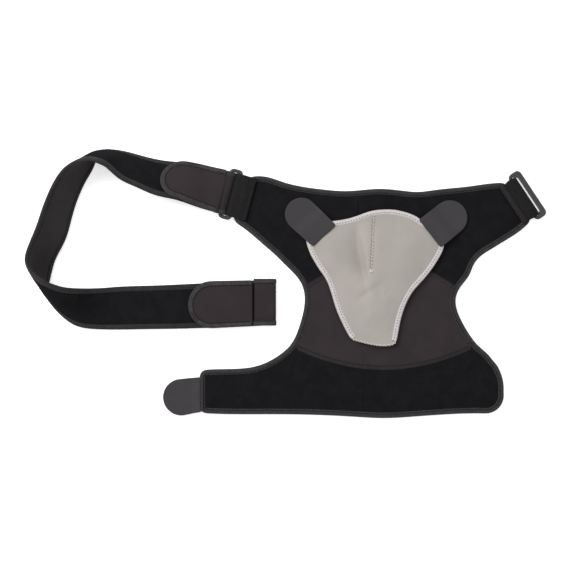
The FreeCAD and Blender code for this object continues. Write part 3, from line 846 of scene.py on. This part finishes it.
def pad_held(p):
    """Whether the pad's cloth is sewn down at a point: its rim, underside and dart."""
    sewn = PAD_NEAR.distance(p.x, p.y) < 5.5 or DART_NEAR.distance(p.x, p.y) < 2.5
    return sewn or p.z < PAD_LOW + 1.0


def pad_share(p):
    """How much of its swelling the pad keeps at a point: less where it is hollow."""
    return 1 - min(1.0, 1.3 * pad_hollow(p.x, p.y))


def swell(piece, held, share, pressure, limit):
    """Puffs a padded piece up with Cloth, but for its held points, none past the limit."""
    before = [v.co.copy() for v in piece.data.vertices]
    pins = piece.vertex_groups.new(name="pins")
    pins.add([i for i, p in enumerate(before) if held(p / MM)], 1.0, "REPLACE")
    modifier = piece.modifiers.new("cloth", "CLOTH")
    settings = modifier.settings
    settings.vertex_group_mass = "pins"
    settings.use_pressure = True
    settings.uniform_pressure_force = pressure
    settings.effector_weights.gravity = 0
    scene = bpy.context.scene
    for number in range(1, SWELL_FRAMES + 1):
        scene.frame_set(number)
    shape = piece.evaluated_get(bpy.context.evaluated_depsgraph_get()).data
    steps = [v.co - old for v, old in zip(shape.vertices, before)]
    piece.modifiers.remove(modifier)
    piece.vertex_groups.remove(pins)
    scene.frame_set(1)
    for vertex, step in zip(piece.data.vertices, steps):
        kept = share(vertex.co / MM) * limit * MM / max(step.length, limit * MM)
        vertex.co += step * kept


def make_pad():
    outline = shifted(PAD_RIM, 1.2, True)
    dart = resample([DART_TOP, DART_FOOT], 1.5)
    points, triangles = fill(outline, 2.6, (1.2,), [dart])
    cloth = Cloth()
    cloth.slab(points, triangles, pad_top, level(PAD_LOW + 0.1))
    piece = make_piece("pressure_pad", cloth, [PAD_FOAM], ["pad_panel", "pad_foot"])
    swell(piece, pad_held, pad_share, PAD_PRESSURE, SWELL_LIMIT)
    bend_pad(piece)


def bend_pad(piece):
    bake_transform(piece)


def make_pad_tape():
    cuts = [("sides", (126.5, -69)), ("foot", (73, -62))]
    parts = stretches(PAD_RIM, cuts)
    cloth = Cloth()
    high = PAD_HIGH + 0.25
    cloth.tape(parts["sides"], PAD_TAPE_W, PAD_LOW, high, 0)
    row = shifted(parts["sides"], PAD_TAPE_W - 2.4, False)
    cloth.stitch(row, level(high + 0.05), 1, swing=0.3, pitch=3.3, radius=0.55, length=0.8)
    piece = make_piece("pad_edge_tape", cloth, [PAD_TAPE, PAD_DOTS], ["pad_binding"])
    bend_pad(piece)
    foot = Cloth()
    row = shifted(parts["foot"], 0.8, False)
    foot.tape(parts["foot"], 2.2, PAD_LOW - 0.3, PAD_HIGH - 0.1, 0)
    foot.stitch(row, level(PAD_HIGH + 0.1), 1, swing=1.8, pitch=1.7, radius=0.5)
    piece = make_piece("pad_foot_seam", foot, [PAD_FOAM, PAD_THREAD],
                       ["pad_foot_stitching"])
    bend_pad(piece)


def make_dart():
    cloth = Cloth()
    path = resample([DART_TOP + Vector((0, 2)), DART_FOOT], PATH_STEP)
    beside = shifted(path, -1.5, False)
    pitch = 3.6
    cloth.stitch(path, raised(pad_top, 0.9), 0, swing=0.4, pitch=pitch, radius=0.8, length=0.9)
    cloth.stitch(beside, raised(pad_top, 0.3), 1, swing=0.3, pitch=pitch, radius=0.4, length=0.7)
    knot = DART_FOOT + Vector((0, -1.5))
    for k in range(3):
        row = [knot + Vector((-1.6, 1.1 - k)), knot + Vector((1.6, 1.1 - k))]
        cloth.stitch(row, raised(pad_top, 0.6), 0, swing=0.2, pitch=1.6, radius=0.7)
    piece = make_piece("pad_dart_stitching", cloth, [PAD_THREAD, PAD_DOTS],
                       ["pad_dart_seam"])
    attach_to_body(piece, "pressure_pad")


# ---------------------------------------------------------------- hook tabs

TAB_T = 1.5
HOOK_T = 0.9             # the hook patch reaches this far under its tab
# name: (parent body, tab body, joint, heights of its base and of its free end, where it steps
# down from the one to the other)
TABS = {
    "pad_chest_tab": ("pressure_pad", "pad_chest_hook_tab", "pad_chest_tab_peel", 9.75, 5.55,
                      (19, 33)),
    "pad_back_tab": ("pressure_pad", "pad_back_hook_tab", "pad_back_tab_peel", 9.75, 5.55,
                     (14, 27)),
    "cuff_tab": ("cuff_long", "cuff_hook_tab", "cuff_tab_bend", 4.55, 1.25, (4.5, 13)),
}


def make_tab(name):
    parent, body, joint, base_z, free_z, (near, far) = TABS[name]
    outline = turns_left(relax(resample(hull(corners_of(name, f"{name}_base")), 1.6, True), 2))
    middle = sum(outline, Vector((0, 0))) / len(outline)
    origin = fold_point(joint, 0)
    along = Vector(JOINTS[joint]["axis"]).xy.normalized()
    out = Vector((-along.y, along.x))
    if out.dot(middle - origin) < 0:
        out = -out
    near_rim = Near(resample(outline, 0.8, True))
    sewn = 4.0

    def under(x, y):
        s = (Vector((x, y)) - origin).dot(out) + sewn
        v = (Vector((x, y)) - origin).dot(along)
        drop = smooth_step((s - near) / (far - near))
        pucker = 0.35 * ripple(s, v, 21, 15, 5.2 + len(name)) * smooth_step((s - 6) / 10)
        return base_z + (free_z - base_z) * drop + max(pucker, -0.3)

    def over(x, y):
        edge = min(near_rim.distance(x, y) / 0.9, 1.0)
        return under(x, y) + TAB_T * (0.55 + 0.45 * math.sqrt(1 - (1 - edge) ** 2))

    piece = make_sheet(f"{name}_cloth", fill(outline, 2.4, (0.45, 1.1)), over, under, [TAB_KNIT],
                       [name, f"{name}_base"])
    inside = [p for p in shifted(outline, 3.0, True) if (p - origin).dot(out) + sewn > far + 1]
    plan = fill(turns_left(relax(resample(hull(inside), 1.8, True), 1)), 2.4)
    hook_piece = make_sheet(f"{name}_hook_patch", plan, raised(under, 0.2), raised(under, -HOOK_T),
                            [HOOKS], [f"{name}_hooks"])
    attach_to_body(hook_piece, body)
    if name == "cuff_tab":
        stitch = Cloth()
        row = [origin + along * v - out * 1.5 for v in (-17.5, 17.5)]
        stitch.stitch(row, over, 0, swing=2.2, pitch=2.6)
        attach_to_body(make_piece("cuff_tab_stitching", stitch, [DARK_THREAD]), parent)
    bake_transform(piece)


# ---------------------------------------------------------------- rings and what holds them

class Bar:
    """Axes at a ring: s runs out along the strap or away from the brace, v along the ring."""

    def __init__(self, node, outwards):
        low, high = (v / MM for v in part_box(node))
        self.middle = (low + high) / 2
        self.s = Vector((*outwards, 0)).normalized()
        self.v = UP.cross(self.s)

    def point(self, s, v, z):
        return Vector((self.middle.x, self.middle.y, 0)) + self.s * s + self.v * v + UP * z


BAR_OFFSET = 5.9
CHEST_RING = Bar("chest_ring", (-0.966, 0.258))
BACK_RING = Bar("back_ring", (0.834, 0.552))
BAND_T = 1.2
RING_SLOT = 50.4         # the slot's length inside the free ring
BAND_W = RING_SLOT - 0.4
BAND_WIDE = 52.0         # where it passes the free ring's ends, which are narrower there


def band_sections(bar, route, thickness, width, middle=0.0):
    """A band across a ring's bar, which follows a route of (s, z)."""
    sections = []
    last = len(route) - 1
    for i, (s, z) in enumerate(route):
        before, after = route[max(i - 1, 0)], route[min(i + 1, last)]
        run, climb = after[0] - before[0], after[1] - before[1]
        length = math.hypot(run, climb)
        out_s, out_z = -climb / length, run / length
        ring = []
        half = (width(s) if callable(width) else width) / 2
        across = [-half, -half + 0.6, -half / 2, 0, half / 2, half - 0.6, half]
        share = [0.45, 0.95, 1, 1, 1, 0.95, 0.45]
        for sign in (1, -1):
            row = list(zip(across, share))
            for v, k in (row if sign > 0 else row[::-1]):
                offset = sign * thickness / 2 * k
                ring.append(bar.point(s + out_s * offset, middle + v, z + out_z * offset))
        sections.append(ring)
    return sections


def round_bar(centre_s, centre_z, radius, first, last, steps=12, stretch=0.0):
    """Points of an arc in the s-z plane between two angles in degrees, drawn out along s."""
    points = []
    for i in range(steps + 1):
        angle = math.radians(first + (last - first) * i / steps)
        points.append((centre_s + (radius + stretch) * math.cos(angle),
                       centre_z + radius * math.sin(angle)))
    return points


def make_holder(name, bar, body, sewn_in, slack):
    """A narrow band folded round the ring's inner bar, with both ends sewn to the wing."""
    height = bar.middle.z
    radius = RING_BAR / 2 + 0.3 + BAND_T / 2
    low, high = 5.1, 6.4
    inner = -BAR_OFFSET - sewn_in
    upper = [(inner + (4.5 - 0.5) * i, high) for i in range(int((sewn_in - 3) / 4.0))]
    turn = round_bar(slack - BAR_OFFSET, height, radius, 100, -125, 16, slack)
    lower = [(inner + 4.0 * i, low) for i in range(int((sewn_in - 6) / 4.0), -1, -1)]
    cloth = Cloth()
    wide = BAND_WIDE if name == "back" else BAND_W

    def width(s):
        return wide if -BAR_OFFSET - 3 < s < -3.4 else BAND_W

    cloth.loft(band_sections(bar, upper + turn + lower, BAND_T, width), 0)
    hem = [(inner - 0.3 + 1.8 * i, high + 0.4) for i in range(4)]
    cloth.loft(band_sections(bar, hem, BAND_T, BAND_W - 0.4), 2 if name == "back" else 0)
    z = high + BAND_T / 2 + 0.4
    for s in (inner + 0.8, inner + 3.8):
        row = [bar.point(s, v, 0).xy for v in (-BAND_W / 2 + 1.5, BAND_W / 2 - 1.5)]
        cloth.stitch(row, level(z), 1, swing=0.5, pitch=2.8, radius=0.3)
    nodes = [f"{name}_ring_holder", f"{name}_holder_stitching"]
    piece = make_piece(f"{name}_ring_band", cloth, [RING_BAND, DARK_THREAD, SEAM_TAPE],
                       nodes)
    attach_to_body(piece, body)


def make_rings():
    for name in ("chest_ring", "back_ring"):
        ring = frame["nodes"][name]
        for place in ring.material_slots:
            place.material = PLASTIC
    make_holder("chest", CHEST_RING, "chest_wing", 18.0, 1.33)
    make_holder("back", BACK_RING, "back_wing", 16.0, 1.2)


# ---------------------------------------------------------------- strap

# The strap's stations in the drawing's axes, near those of the CAD strap: its outer edge, which
# stays down, and its inner edge, which stands up where the strap twists.
DRAWING_MIDDLE = Vector((5.49, 0.87, 0))
STRAP = [
    ((-66.6 + 6.3, 105.0 + 23.7, 0), (-66.6 - 6.3, 105.0 - 23.7, 0)),
    ((-85.0, 134.2, 0), (-97.4, 87.9, 10.3)),
    ((-113.0, 139.6, 0), (-124.0, 96.5, 20.5)),
    ((-137.0, 142.0, 0), (-146.0, 101.5, 26.0)),
    ((-160.0, 146.6, 0), (-167.0, 110.5, 32.3)),
    ((-183.0, 152.4, 0), (-187.0, 121.0, 37.4)),
    ((-199.0, 153.8, 0), (-200.0, 132.5, 44.0)),
    ((-208.5, 152.2, 0), (-206.8, 135.6, 46.6)),
    ((-214.2, 147.4, 0), (-214.2, 138.2, 48.2)),
    ((-219.0, 136.4, 0), (-227.0, 138.0, 48.0)),
    ((-227.7, 120.2, 0), (-244.0, 130.0, 45.0)),
    ((-238.1, 97.2, 0), (-258.0, 112.0, 42.3)),
    ((-245.0, 74.2, 0), (-269.0, 87.5, 40.6)),
    ((-251.9, 51.2, 0), (-277.0, 64.5, 40.0)),
    ((-263.4, 28.2, 0), (-286.0, 41.0, 41.5)),
    ((-266.8, 16.7, 0), (-287.5, 23.5, 43.8)),
    ((-270.0, 4.0, 0), (-268.0, 4.5, 48.9)),
    ((-271.5, -10.5, 0), (-254.5, -1.2, 45.2)),
    ((-265.0, -24.2, 0), (-246.0, -3.6, 40.4)),
    ((-254.2, -36.6, 0), (-235.5, -4.6, 32.4)),
    ((-240.4, -46.6, 0), (-223.0, -4.6, 18.3)),
    ((-217.4, -51.2, 0), (-206.0, -3.7, 7.6)),
    ((-190.0, -51.8, 0), (-188.0, -2.3, 2.0)),
    ((-150.0, -51.2, 0), (-149.0, -1.0, 0.1)),
    ((-125.0, -50.9, 0), (-125.0, 0.0, 0)),
    ((-91.0, -50.0, 0), (-91.0, 1.6, 0)),
    ((-56.0, -48.9, 0), (-56.0, 3.4, 0)),
    ((-9.0, -46.3, 0), (-9.0, 6.6, 0)),
]


class Spline:
    """A smooth curve through points at stated parameters, with free ends."""

    def __init__(self, steps, points):
        self.steps, self.points = steps, points
        count = len(points)
        widths = [b - a for a, b in zip(steps, steps[1:])]
        lean = [Vector() for _ in points]
        share = [0.0] * count
        for i in range(1, count - 1):
            slope = ((points[i + 1] - points[i]) / widths[i]
                     - (points[i] - points[i - 1]) / widths[i - 1]) * 6
            weight = 2 * (widths[i - 1] + widths[i]) - widths[i - 1] * share[i - 1]
            share[i] = widths[i] / weight
            lean[i] = (slope - lean[i - 1] * widths[i - 1]) / weight
        for i in range(count - 2, 0, -1):
            lean[i] = lean[i] - lean[i + 1] * share[i]
        self.lean = lean

    def at(self, t):
        steps, points, lean = self.steps, self.points, self.lean
        i = 0
        while i < len(steps) - 2 and steps[i + 1] < t:
            i += 1
        width = steps[i + 1] - steps[i]
        b = (t - steps[i]) / width
        a = 1 - b
        bend = (lean[i] * (a ** 3 - a) + lean[i + 1] * (b ** 3 - b)) * width * width / 6
        return points[i] * a + points[i + 1] * b + bend


def strap_curves():
    outer, inner = [], []
    rows = [(Vector(a) - DRAWING_MIDDLE, Vector(b) - DRAWING_MIDDLE) for a, b in STRAP]
    for a, b in rows:
        across = (b - a).normalized()
        lift = UP * (STRAP_T / 2 * across.xy.length)
        outer.append(a + lift)
        inner.append(b + lift)
    steps = [0.0]
    for i in range(1, len(rows)):
        steps.append(steps[-1] + (outer[i] + inner[i] - outer[i - 1] - inner[i - 1]).length / 2)
    return steps, Spline(steps, outer), Spline(steps, inner)


STEPS, OUTER, INNER = strap_curves()
STRAP_LENGTH = STEPS[-1]


# Where the strap turns on its edge its middle bows out: (station, depth, reach along it)
STRAP_BOWS = [(8, 6.5, 32.0), (16, 9.5, 30.0)]


def on_strap(p):
    """Takes (distance along, share across from the outer edge in mm, height over the middle)
    to where that is on the strap."""
    t = min(max(p.x, 0.0), STRAP_LENGTH)
    a, b = OUTER.at(t), INNER.at(t)
    before, after = max(t - 1, 0), min(t + 1, STRAP_LENGTH)
    along = (OUTER.at(after) + INNER.at(after) - OUTER.at(before) - INNER.at(before)).normalized()
    across = (b - a).normalized()
    normal = along.cross(across).normalized()
    share = p.y / STRAP_W
    bow = 4 * share * (1 - share) * sum(
        depth * bell(t - STEPS[i], reach) for i, depth, reach in STRAP_BOWS)
    return a.lerp(b, share) + along * (p.x - t) + normal * (p.z + bow)


def strap_face(x, y):
    """A strap's loop face over its middle plane, a little slack between the tapes."""
    edge = smooth_step(min(y - 3, STRAP_W - 3 - y) / 8)
    return STRAP_T / 2 - 0.15 + (0.22 + 0.25 * ripple(x, y, 40, 25, 11.0)) * edge


def make_strap_stretch(name, first, last, nodes, edge_nodes):
    """A length of strap: its two-faced cloth, then its edge tapes with their stitching."""
    low, high = 1, STRAP_W - 1
    corners = [(first, low), (last, low), (last, high), (first, high)]
    outline = []
    for p, q in zip(corners, corners[1:] + corners[:1]):
        outline += straight(p, q)
    piece = make_sheet(f"strap_{name}_cloth", fill(outline, 3.2), strap_face,
                       level(-STRAP_T / 2 + 0.1), [PILE, STRAP_KNIT], nodes,
                       on_strap)
    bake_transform(piece)
    edges = Cloth()
    half = STRAP_T / 2 + 0.3
    for y, reverse in ((0.0, False), (STRAP_W, True)):
        path = resample([Vector((first, y)), Vector((last, y))], 2.6)
        path = path[::-1] if reverse else path
        edges.tape(path, STRAP_TAPE_W, -half, half, 0)
        row = shifted(path, STRAP_TAPE_W - 0.9, False)
        edges.stitch(row, level(half - 0.2), 1, swing=0.5, radius=0.4)
        edges.stitch(row, level(-half + 0.2), 2, swing=0.5, radius=0.4)
    piece = make_piece(f"strap_{name}_edge_tape", edges, [STRAP_TAPE, LIGHT_THREAD, DARK_THREAD],
                       edge_nodes, on_strap)
    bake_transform(piece)


CORNER, RETURN = 8, 16   # the stations at the strap's two turns
LOOP_MIDDLE = STEPS[12]
FAR_MIDDLE = STEPS[21]
U_TURN = 4.0             # the free end's turn starts this far short of the strap's end
WRAP_END = 7.0           # from the ring's outer bar to where the strap's own cloth starts


def make_strap():
    corner = OUTER.at(STEPS[CORNER])
    turn = OUTER.at(STEPS[RETURN])
    make_strap_stretch("near", WRAP_END, LOOP_MIDDLE, ["strap_near_run"], ["strap_near_binding"])
    make_strap_stretch("loop", LOOP_MIDDLE, FAR_MIDDLE, ["strap_loop_run", "strap_far_run"],
                       ["strap_loop_binding", "strap_far_binding"])
    make_strap_stretch("far", FAR_MIDDLE, STRAP_LENGTH - U_TURN, ["strap_end_run"],
                       ["strap_end_binding"])


WRAP_W = RING_SLOT - 0.6
WRAP_TAPE_W = 5.4


def make_wrap():
    """The strap's end round the chest ring's outer bar, from its underside to the cross seam."""
    height = CHEST_RING.middle.z
    radius = RING_BAR / 2 + 0.3 + STRAP_T / 2
    seam = BAR_OFFSET + 5.0
    low, high = height - radius, height + radius
    route = [(seam + 3, low), (seam - 1.5, low)]
    route += round_bar(BAR_OFFSET, height, radius, -90, -270, 14)
    route += [(seam - 3, high), (seam - 1.5, high), (seam - 0.3, high - 0.3)]
    cloth = Cloth()
    cloth.loft(band_sections(CHEST_RING, route, STRAP_T, WRAP_W), 0)
    for side in (-1, 1):
        edge = side * (WRAP_W - WRAP_TAPE_W) / 2
        cloth.loft(band_sections(CHEST_RING, route[:-1], STRAP_T + 0.6, WRAP_TAPE_W, edge), 2)
    row = [CHEST_RING.point(seam - 0.3, v, 0).xy for v in (-STRAP_W / 2 + 2, STRAP_W / 2 - 2)]
    cloth.stitch(row, level(high + STRAP_T / 2 - 0.2), 1, swing=0.3, pitch=2.2, radius=0.5)
    piece = make_piece("strap_ring_wrap_cloth", cloth, [WRAP_KNIT, DARK_THREAD, TAPE],
                       ["strap_ring_wrap"])
    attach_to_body(piece, "strap_near")


def tongue_outline(root, shoulder, tip, low, high):
    """A tongue with a round tip, from its root along x, between two edges in y."""
    middle, half, steps = (low + high) / 2, (high - low) / 2, 32
    points = straight((root, high), (root, low)) + straight((root, low), (shoulder, low))
    for i in range(steps + 1):
        angle = math.pi * (i / steps - 0.5)
        points.append(Vector((shoulder + (tip - shoulder) * math.cos(angle),
                              middle + half * math.sin(angle))))
    return points + straight((shoulder, high), (root, high))[1:]


def make_tongue(name, outline, open_side, cloth_z, tape_low, tape_high, onto, nodes):
    """A knit-faced tongue with taped edges and a hook patch under it."""
    piece = make_sheet(f"{name}_cloth", fill(shifted(outline, 1.2, True), 3.0), cloth_z,
                       level(tape_low + 0.1), [TONGUE_KNIT], [nodes[0]],
                       onto=onto)
    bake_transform(piece)
    cloth = Cloth()
    path = [p for p in outline if not open_side(p)]
    split = max(range(len(path)), key=lambda i: (path[i] - path[i - 1]).length)
    path = resample(path[split:] + path[:split], PATH_STEP)
    cloth.tape(path, TAPE_W, tape_low, tape_high, 0)
    row = shifted(path, TAPE_W - 0.8, False)
    cloth.stitch(row, level(tape_high - 0.1), 1, swing=0.4, radius=0.55)
    piece = make_piece(f"{name}_edge_tape", cloth, [TAPE, DARK_THREAD], [nodes[1]],
                       onto)
    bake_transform(piece)
    inside = shifted(outline, TAPE_W + 1.5, True)
    plan = fill(turns_left(resample(hull(inside), 2.5, True)), 3.0)
    piece = make_sheet(f"{name}_hook_patch", plan, level(tape_low + 0.3), level(tape_low - HOOK_T),
                       [HOOKS], [nodes[2]], onto=onto)
    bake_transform(piece)


def slack(high, seed):
    """A tongue's face at a height, slightly uneven."""
    return lambda x, y: high + 0.1 + 0.25 * ripple(x, y, 30, 22, seed)


def make_near_tongue():
    """The tongue beyond the chest ring, hooked on the strap's loop face."""
    rise, seam, shoulder, tip = 4.6, 5.0, 54.0, 77.5
    narrowing = 0.05        # the share of its width that it loses by its shoulder
    axis = STRAP_W / 2

    def over_strap(p):
        step = 3.4 * (1 - smooth_step((p.x - 3) / 24))
        return on_strap(Vector((p.x, p.y, p.z + rise + step)))

    outline = tongue_outline(seam - 0.5, shoulder, tip, -1.0, STRAP_W + 1.0)
    outline = [Vector((p.x, axis + (p.y - axis) * (1 - narrowing * p.x / shoulder)))
               for p in outline]
    half = STRAP_T / 2
    hinge = CHEST_RING.point(BAR_OFFSET + seam, 0, 0)
    make_tongue("near_tongue", outline, lambda p: p.x < seam + 0.6, slack(half, 4.0), -half,
                half + 0.2, over_strap,
                ["near_tongue", "near_tongue_binding", "near_tongue_hooks"])


class FlatBar:
    """Axes at the strap's end turn, with s along +X and v along +Y."""

    def __init__(self, x, y):
        self.x, self.y = x, y

    def point(self, s, v, z):
        return Vector((self.x + s, self.y + v, z))


STRAP_END_X = OUTER.at(STRAP_LENGTH).x


def make_far_end():
    """The free end: folded back over itself, stitched across, and hooked down by its tongue."""
    low, high = 4.7, 7.9
    outline = hull(corners_of("far_tongue_binding", "far_tongue"))
    seam_x = max(p.x for p in outline)
    outline = turns_left(relax(resample(outline, 2.5, True), 1))
    outline = [Vector((min(p.x, seam_x), p.y)) for p in outline]
    make_tongue("far_tongue", outline, lambda p: p.x > seam_x - 1.0, slack(high, 6.0), low,
                high + 0.2, None,
                ["far_tongue", "far_tongue_binding", "far_tongue_hooks"])
    end_low, end_high = (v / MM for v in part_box("strap_end_fold"))
    turn_x = STRAP_END_X - U_TURN
    middle = (end_low.y + end_high.y) / 2 + 0.4
    bar = FlatBar(turn_x, middle)
    over = low + STRAP_T / 2
    route = [(s, over) for s in (seam_x + 0.2 - turn_x, -20.0, -14.0, -8.0, -3.0)]
    centre = (low + STRAP_T) / 2
    route += round_bar(0.0, centre, centre - STRAP_T / 2, 90, -90, 12)
    route += [(-2.0, STRAP_T / 2)]
    cloth = Cloth()
    wide = end_high.y - end_low.y - 0.6
    cloth.loft(band_sections(bar, route, STRAP_T, wide - 4), 0)
    for sign in (-1, 1):
        edge = sign * (wide - STRAP_TAPE_W) / 2
        cloth.loft(band_sections(bar, route, STRAP_T + 0.8, STRAP_TAPE_W, edge), 2)
        y = middle + sign * (wide / 2 - STRAP_TAPE_W + 1)
        row = [Vector((x, y)) for x in (seam_x + 1, turn_x + 1)]
        cloth.stitch(row, level(high + 0.3), 1, swing=0.4, radius=0.5)
    row = [Vector((seam_x + 0.6, middle + across)) for across in (-21, 21)]
    cloth.stitch(row, level(high), 1, swing=0.3, pitch=2.0, radius=0.6)
    piece = make_piece("strap_end_fold_cloth", cloth, [TONGUE_KNIT, DARK_THREAD, TAPE],
                       ["strap_end_fold", "far_cross_seam"])
    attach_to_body(piece, "strap_end")


# ---------------------------------------------------------------- studio

FLOOR_Z = -0.8
FLOOR_REACH = 6000.0
CAMERA_PLACE = Vector((-4.3, -1.4, 1500.0))
SEEN_WIDTH = 655.5       # what the camera takes in on the floor
SKY_STRENGTH = 0.6
FLOOR_GLOW = 0.5
# name: (place, size, power)
LIGHTS = {"key": ((-1000, 800, 1250), 900, 26), "fill": ((900, -300, 1300), 1200, 4)}


def make_floor():
    reach = FLOOR_REACH
    mesh = bpy.data.meshes.new("floor")
    corners = [(-reach, -reach), (reach, -reach), (reach, reach), (-reach, reach)]
    mesh.from_pydata([Vector((x, y, FLOOR_Z)) * MM for x, y in corners], [], [(0, 1, 2, 3)])
    look = Look("floor_paper", 0.9, specular=0.1)
    look.colour(look.mix(look.noise(400.0), (0.93, 0.93, 0.93, 1), (0.95, 0.95, 0.95, 1)))
    look.shader.inputs["Emission Color"].default_value = (1, 1, 1, 1)
    look.shader.inputs["Emission Strength"].default_value = FLOOR_GLOW
    mesh.materials.append(look.material)
    floor = add_object("floor", mesh)


def make_camera():
    data = bpy.data.cameras.new("camera")
    camera = add_object("camera", data)
    camera.location = CAMERA_PLACE * MM
    data.lens = data.sensor_width * CAMERA_PLACE.z / SEEN_WIDTH
    bpy.context.scene.camera = camera


def area_light(name, place, size, power):
    data = bpy.data.lights.new(name, "AREA")
    data.size = size * MM
    data.energy = power
    light = add_object(name, data)
    light.location = Vector(place) * MM
    light.rotation_euler = (-Vector(place)).to_track_quat("-Z", "Y").to_euler()


def make_light():
    world = bpy.data.worlds.new("studio")
    world.use_nodes = True
    background = world.node_tree.nodes["Background"]
    background.inputs["Color"].default_value = (1, 1, 1, 1)
    background.inputs["Strength"].default_value = SKY_STRENGTH
    bpy.context.scene.world = world
    for name, (place, size, power) in LIGHTS.items():
        area_light(name, place, size, power)
    bpy.context.scene.view_settings.view_transform = "Standard"


make_floor()
make_camera()
make_light()
make_panels()
make_brace_tape()
make_seams()
make_pad()
make_pad_tape()
make_dart()
for tab_name in TABS:
    make_tab(tab_name)
make_rings()
make_wrap()
make_strap()
make_near_tongue()
make_far_end()
